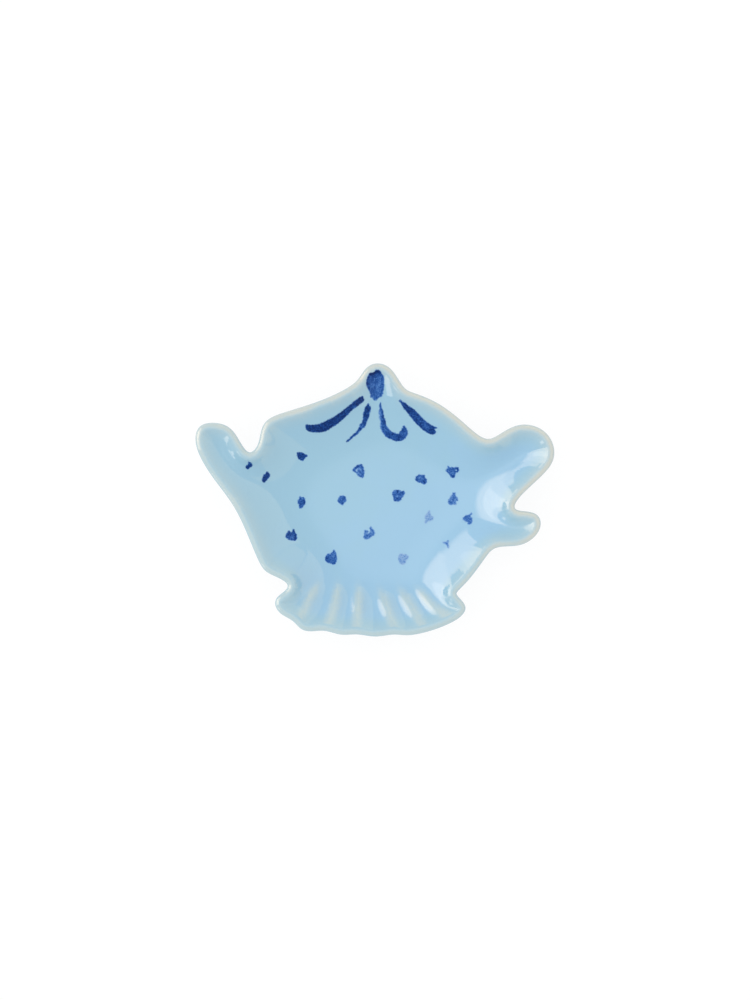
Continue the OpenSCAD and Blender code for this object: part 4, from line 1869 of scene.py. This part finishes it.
@dataclass
class BrushWork:
    """All the cobalt marks, each group as one piece.

    Attributes:
        plan: The dish's plan.
        shape: The rule that drapes them.
    """

    plan: Plan
    shape: PouredShape

    GROUPS = {
        "long_left_stroke": (LONG_LEFT,),
        "short_left_stroke": (SHORT_LEFT,),
        "hooked_stroke": (HOOKED,),
        "long_right_stroke": (LONG_RIGHT,),
        "knob_mark": (KNOB,),
        "scattered_dabs": DABS,
    }

    def _piece(
        self, node: str, marks: tuple, finish: bpy.types.Material
    ) -> bpy.types.Object:
        """Drapes a group of marks as one piece.

        Args:
            node: The solid that it stands for.
            marks: The marks in it.
            finish: The cobalt's material.

        Returns:
            The piece.
        """
        draft = Draft(self.plan)
        patches = [BrushMark(self.plan, self.shape, mark) for mark in marks]
        for patch in patches:
            patch.draft(draft)
        sizes = patches[0].inputs(self.plan.sizes.glaze_t, patches[0].lift_mm)
        piece = self.shape.lift(node + "_visual", draft.object(), sizes, finish)
        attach(piece, "root")
        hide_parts(node)
        return piece

    def build(self, finish: bpy.types.Material) -> list:
        """Builds every group of marks.

        Args:
            finish: The cobalt's material.

        Returns:
            The pieces.
        """
        return [self._piece(node, marks, finish) for node, marks in self.GROUPS.items()]


@dataclass(frozen=True)
class Panel:
    """A flat upright lamp that faces the dish.

    Attributes:
        name: Its name.
        faces: The direction of its nearest point, in degrees from +X.
        turns: The directions of its two upright edges, in degrees.
        heights: The heights of its lower and upper edges, in metres.
        radiance: How bright its face is, where white paper in full light is 1.
        tint: Its colour.
        distance: How far off its plane stands, in metres.
        fade: The share of its height over which it fades out at the top.
    """

    name: str
    faces: float
    turns: tuple
    heights: tuple
    radiance: float
    tint: tuple
    distance: float = 1.0
    fade: float = 0.0

    def edges(self) -> np.ndarray:
        """Where its upright edges stand along its plane, in metres."""
        return self.distance * np.tan(np.radians(np.array(self.turns) - self.faces))


KEY_TINT = (1.0, 0.75, 0.52)


@dataclass
class Studio:
    """The pale floor, the lamps and the camera.

    Attributes:
        frame_h: Height of the photograph's frame at the dish, in metres.
        distance: From the dish to the camera, in metres.
        camera_lean: How far the camera leans over X and Y.
        film: Height of the camera's film, in millimetres.
        aim_z: The height that it looks at, in metres.
        floor_half: Half the floor's width, in metres.
        floor_cells: Cells along the floor.
        sky: The plain sky's strength.
        wash: How much brighter the sky is over the left.
        wash_way: The direction in which it is brightest.
        haze: How much brighter the gloss shows the sky overhead.
        haze_way: The direction in which it does so most.
        haze_band: How near to that direction this starts and is full, as cosines.
        panels: The upright lamps, which show in the gloss.
    """

    frame_h: float = 0.3342
    distance: float = 2.0
    camera_lean: tuple = (-0.004, 0.002)
    film: float = 36.0
    aim_z: float = 0.012
    floor_half: float = 3.0
    floor_cells: int = 24
    sky: float = 0.86
    wash: float = 0.4
    wash_way: tuple = (-0.8, 0.2, 0.55)
    haze: float = 0.6
    haze_way: tuple = (-0.25, 0.05, 0.96)
    haze_band: tuple = (0.9, 1.0)
    panels: tuple = (
        Panel("key_pane", 190, (142, 196), (0, 2.1), 3.8, KEY_TINT, fade=0.32),
        Panel("key_edge", 190, (133.8, 139.6), (0.4, 1.8), 2.8, KEY_TINT, fade=0.4),
        Panel("key_bridge", 190, (139.6, 142), (0, 1.8), 3.0, KEY_TINT, fade=0.32),
        Panel("key_glint", 172, (158, 184), (0, 0.95), 1.6, (1.0, 0.8, 0.6), 0.9),
        Panel("side_pane", 215, (211, 222), (0.18, 0.42), 3.0, (1.0, 0.85, 0.7)),
        Panel("right_pane", 12, (-15, 40), (0, 1.5), 1.1, (1.0, 0.78, 0.36)),
        Panel("right_low", 60, (41, 85), (0, 1.1), 0.95, (1.0, 0.76, 0.22)),
        Panel("front_pane", 322, (302, 341), (0, 1.54), 0.65, (1.0, 0.74, 0.2)),
    )

    def floor(self) -> None:
        """Lays the floor."""
        mesh = bpy.data.meshes.new("floor")
        cells = self.floor_cells
        xs = np.linspace(-self.floor_half, self.floor_half, cells + 1)
        rows = [(x, y, 0.0) for x in xs for y in xs]
        n = cells + 1
        faces = [
            (i * n + j, (i + 1) * n + j, (i + 1) * n + j + 1, i * n + j + 1)
            for i in range(cells) for j in range(cells)
        ]
        mesh.from_pydata(rows, [], faces)
        mesh.materials.append(PaperFinish().make())
        floor = bpy.data.objects.new("floor", mesh)
        bpy.context.scene.collection.objects.link(floor)

    def _toward(self, tree: bpy.types.NodeTree, way: tuple) -> Term:
        """How nearly the sky at a point lies in a direction.

        Args:
            tree: The world's node tree.
            way: The direction.

        Returns:
            The cosine.
        """
        coords = tree.nodes.new("ShaderNodeTexCoord")
        dot = tree.nodes.new("ShaderNodeVectorMath")
        dot.operation = "DOT_PRODUCT"
        dot.inputs[1].default_value = Vector(way).normalized()
        tree.links.new(coords.outputs["Generated"], dot.inputs[0])
        return Term(tree, dot.outputs["Value"])

    def world(self) -> None:
        """Sets the soft sky, a little brighter over the left, that shows as white."""
        world = bpy.data.worlds.new("studio")
        world.use_nodes = True
        bpy.context.scene.world = world
        tree = world.node_tree
        background = tree.nodes["Background"]
        background.inputs["Color"].default_value = (1.0, 1.0, 1.0, 1.0)
        seen, gloss = pictured(tree)
        lit = self._toward(tree, self.wash_way).eased(0.0, 1.0) * self.wash + self.sky
        haze = self._toward(tree, self.haze_way).eased(*self.haze_band)
        strength = lit + seen * (1.0 - lit) + gloss * haze * self.haze
        tree.links.new(strength.socket, background.inputs["Strength"])

    def lamp(self, panel: Panel) -> None:
        """Stands a panel beside the dish. Only its gloss shows it.

        Args:
            panel: The panel.
        """
        light = bpy.data.lights.new(panel.name, "AREA")
        light.shape = "RECTANGLE"
        start, end = panel.edges()
        foot, top = panel.heights
        light.size, light.size_y = end - start, top - foot
        light.color = panel.tint
        light.energy = math.pi * light.size * light.size_y * panel.radiance
        if panel.fade:
            light.use_nodes = True
            tree = light.node_tree
            spot = tree.nodes.new("ShaderNodeNewGeometry")
            split = tree.nodes.new("ShaderNodeSeparateXYZ")
            tree.links.new(spot.outputs["Parametric"], split.inputs[0])
            level = Term(tree, split.outputs["Y"]).eased(1.0, 1.0 - panel.fade)
            tree.links.new(level.socket, tree.nodes["Emission"].inputs["Strength"])
        lamp = bpy.data.objects.new(panel.name, light)
        turn = math.radians(panel.faces)
        level = Vector((math.cos(turn), math.sin(turn), 0))
        along = Vector((-level.y, level.x, 0))
        lamp.location = level * panel.distance + along * ((start + end) / 2)
        lamp.location.z = (foot + top) / 2
        lamp.rotation_euler = (-level).to_track_quat("-Z", "Y").to_euler()
        lamp.visible_diffuse = False
        bpy.context.scene.collection.objects.link(lamp)

    def camera(self) -> None:
        """Sets the camera above the dish, leaning as the photograph's does."""
        data = bpy.data.cameras.new("camera")
        data.sensor_fit = "VERTICAL"
        data.sensor_height = self.film
        data.lens = self.film * self.distance / self.frame_h
        data.clip_start, data.clip_end = 0.01, 50.0
        cam = bpy.data.objects.new("camera", data)
        aim = Vector((0, 0, self.aim_z))
        back = Vector((*self.camera_lean, 1)).normalized()
        cam.location = aim + back * self.distance
        side = Vector((0, 1, 0)).cross(back).normalized()
        turn = Matrix((side, back.cross(side), back)).transposed()
        cam.rotation_euler = turn.to_euler()
        bpy.context.scene.collection.objects.link(cam)
        bpy.context.scene.camera = cam

    def build(self) -> None:
        """Builds the whole studio."""
        bpy.context.scene.view_settings.view_transform = "Standard"
        self.floor()
        self.world()
        for panel in self.panels:
            self.lamp(panel)
        self.camera()


def main() -> None:
    """Builds the dish, its brush marks and the studio, in that order."""
    logging.basicConfig(level=logging.INFO, format="%(name)s: %(message)s")
    plan = Plan(DishSizes())
    shape = PouredShape()
    glaze = GlazeFinish()
    GlazeCoat(plan, shape).build(glaze.make())
    ClayBody(plan, shape).build(ClayFinish().make())
    marks = BrushWork(plan, shape).build(CobaltFinish(glaze).make())
    LOG.info("%d pieces of brushwork", len(marks))
    Studio().build()


if __name__ == "__main__":
    main()
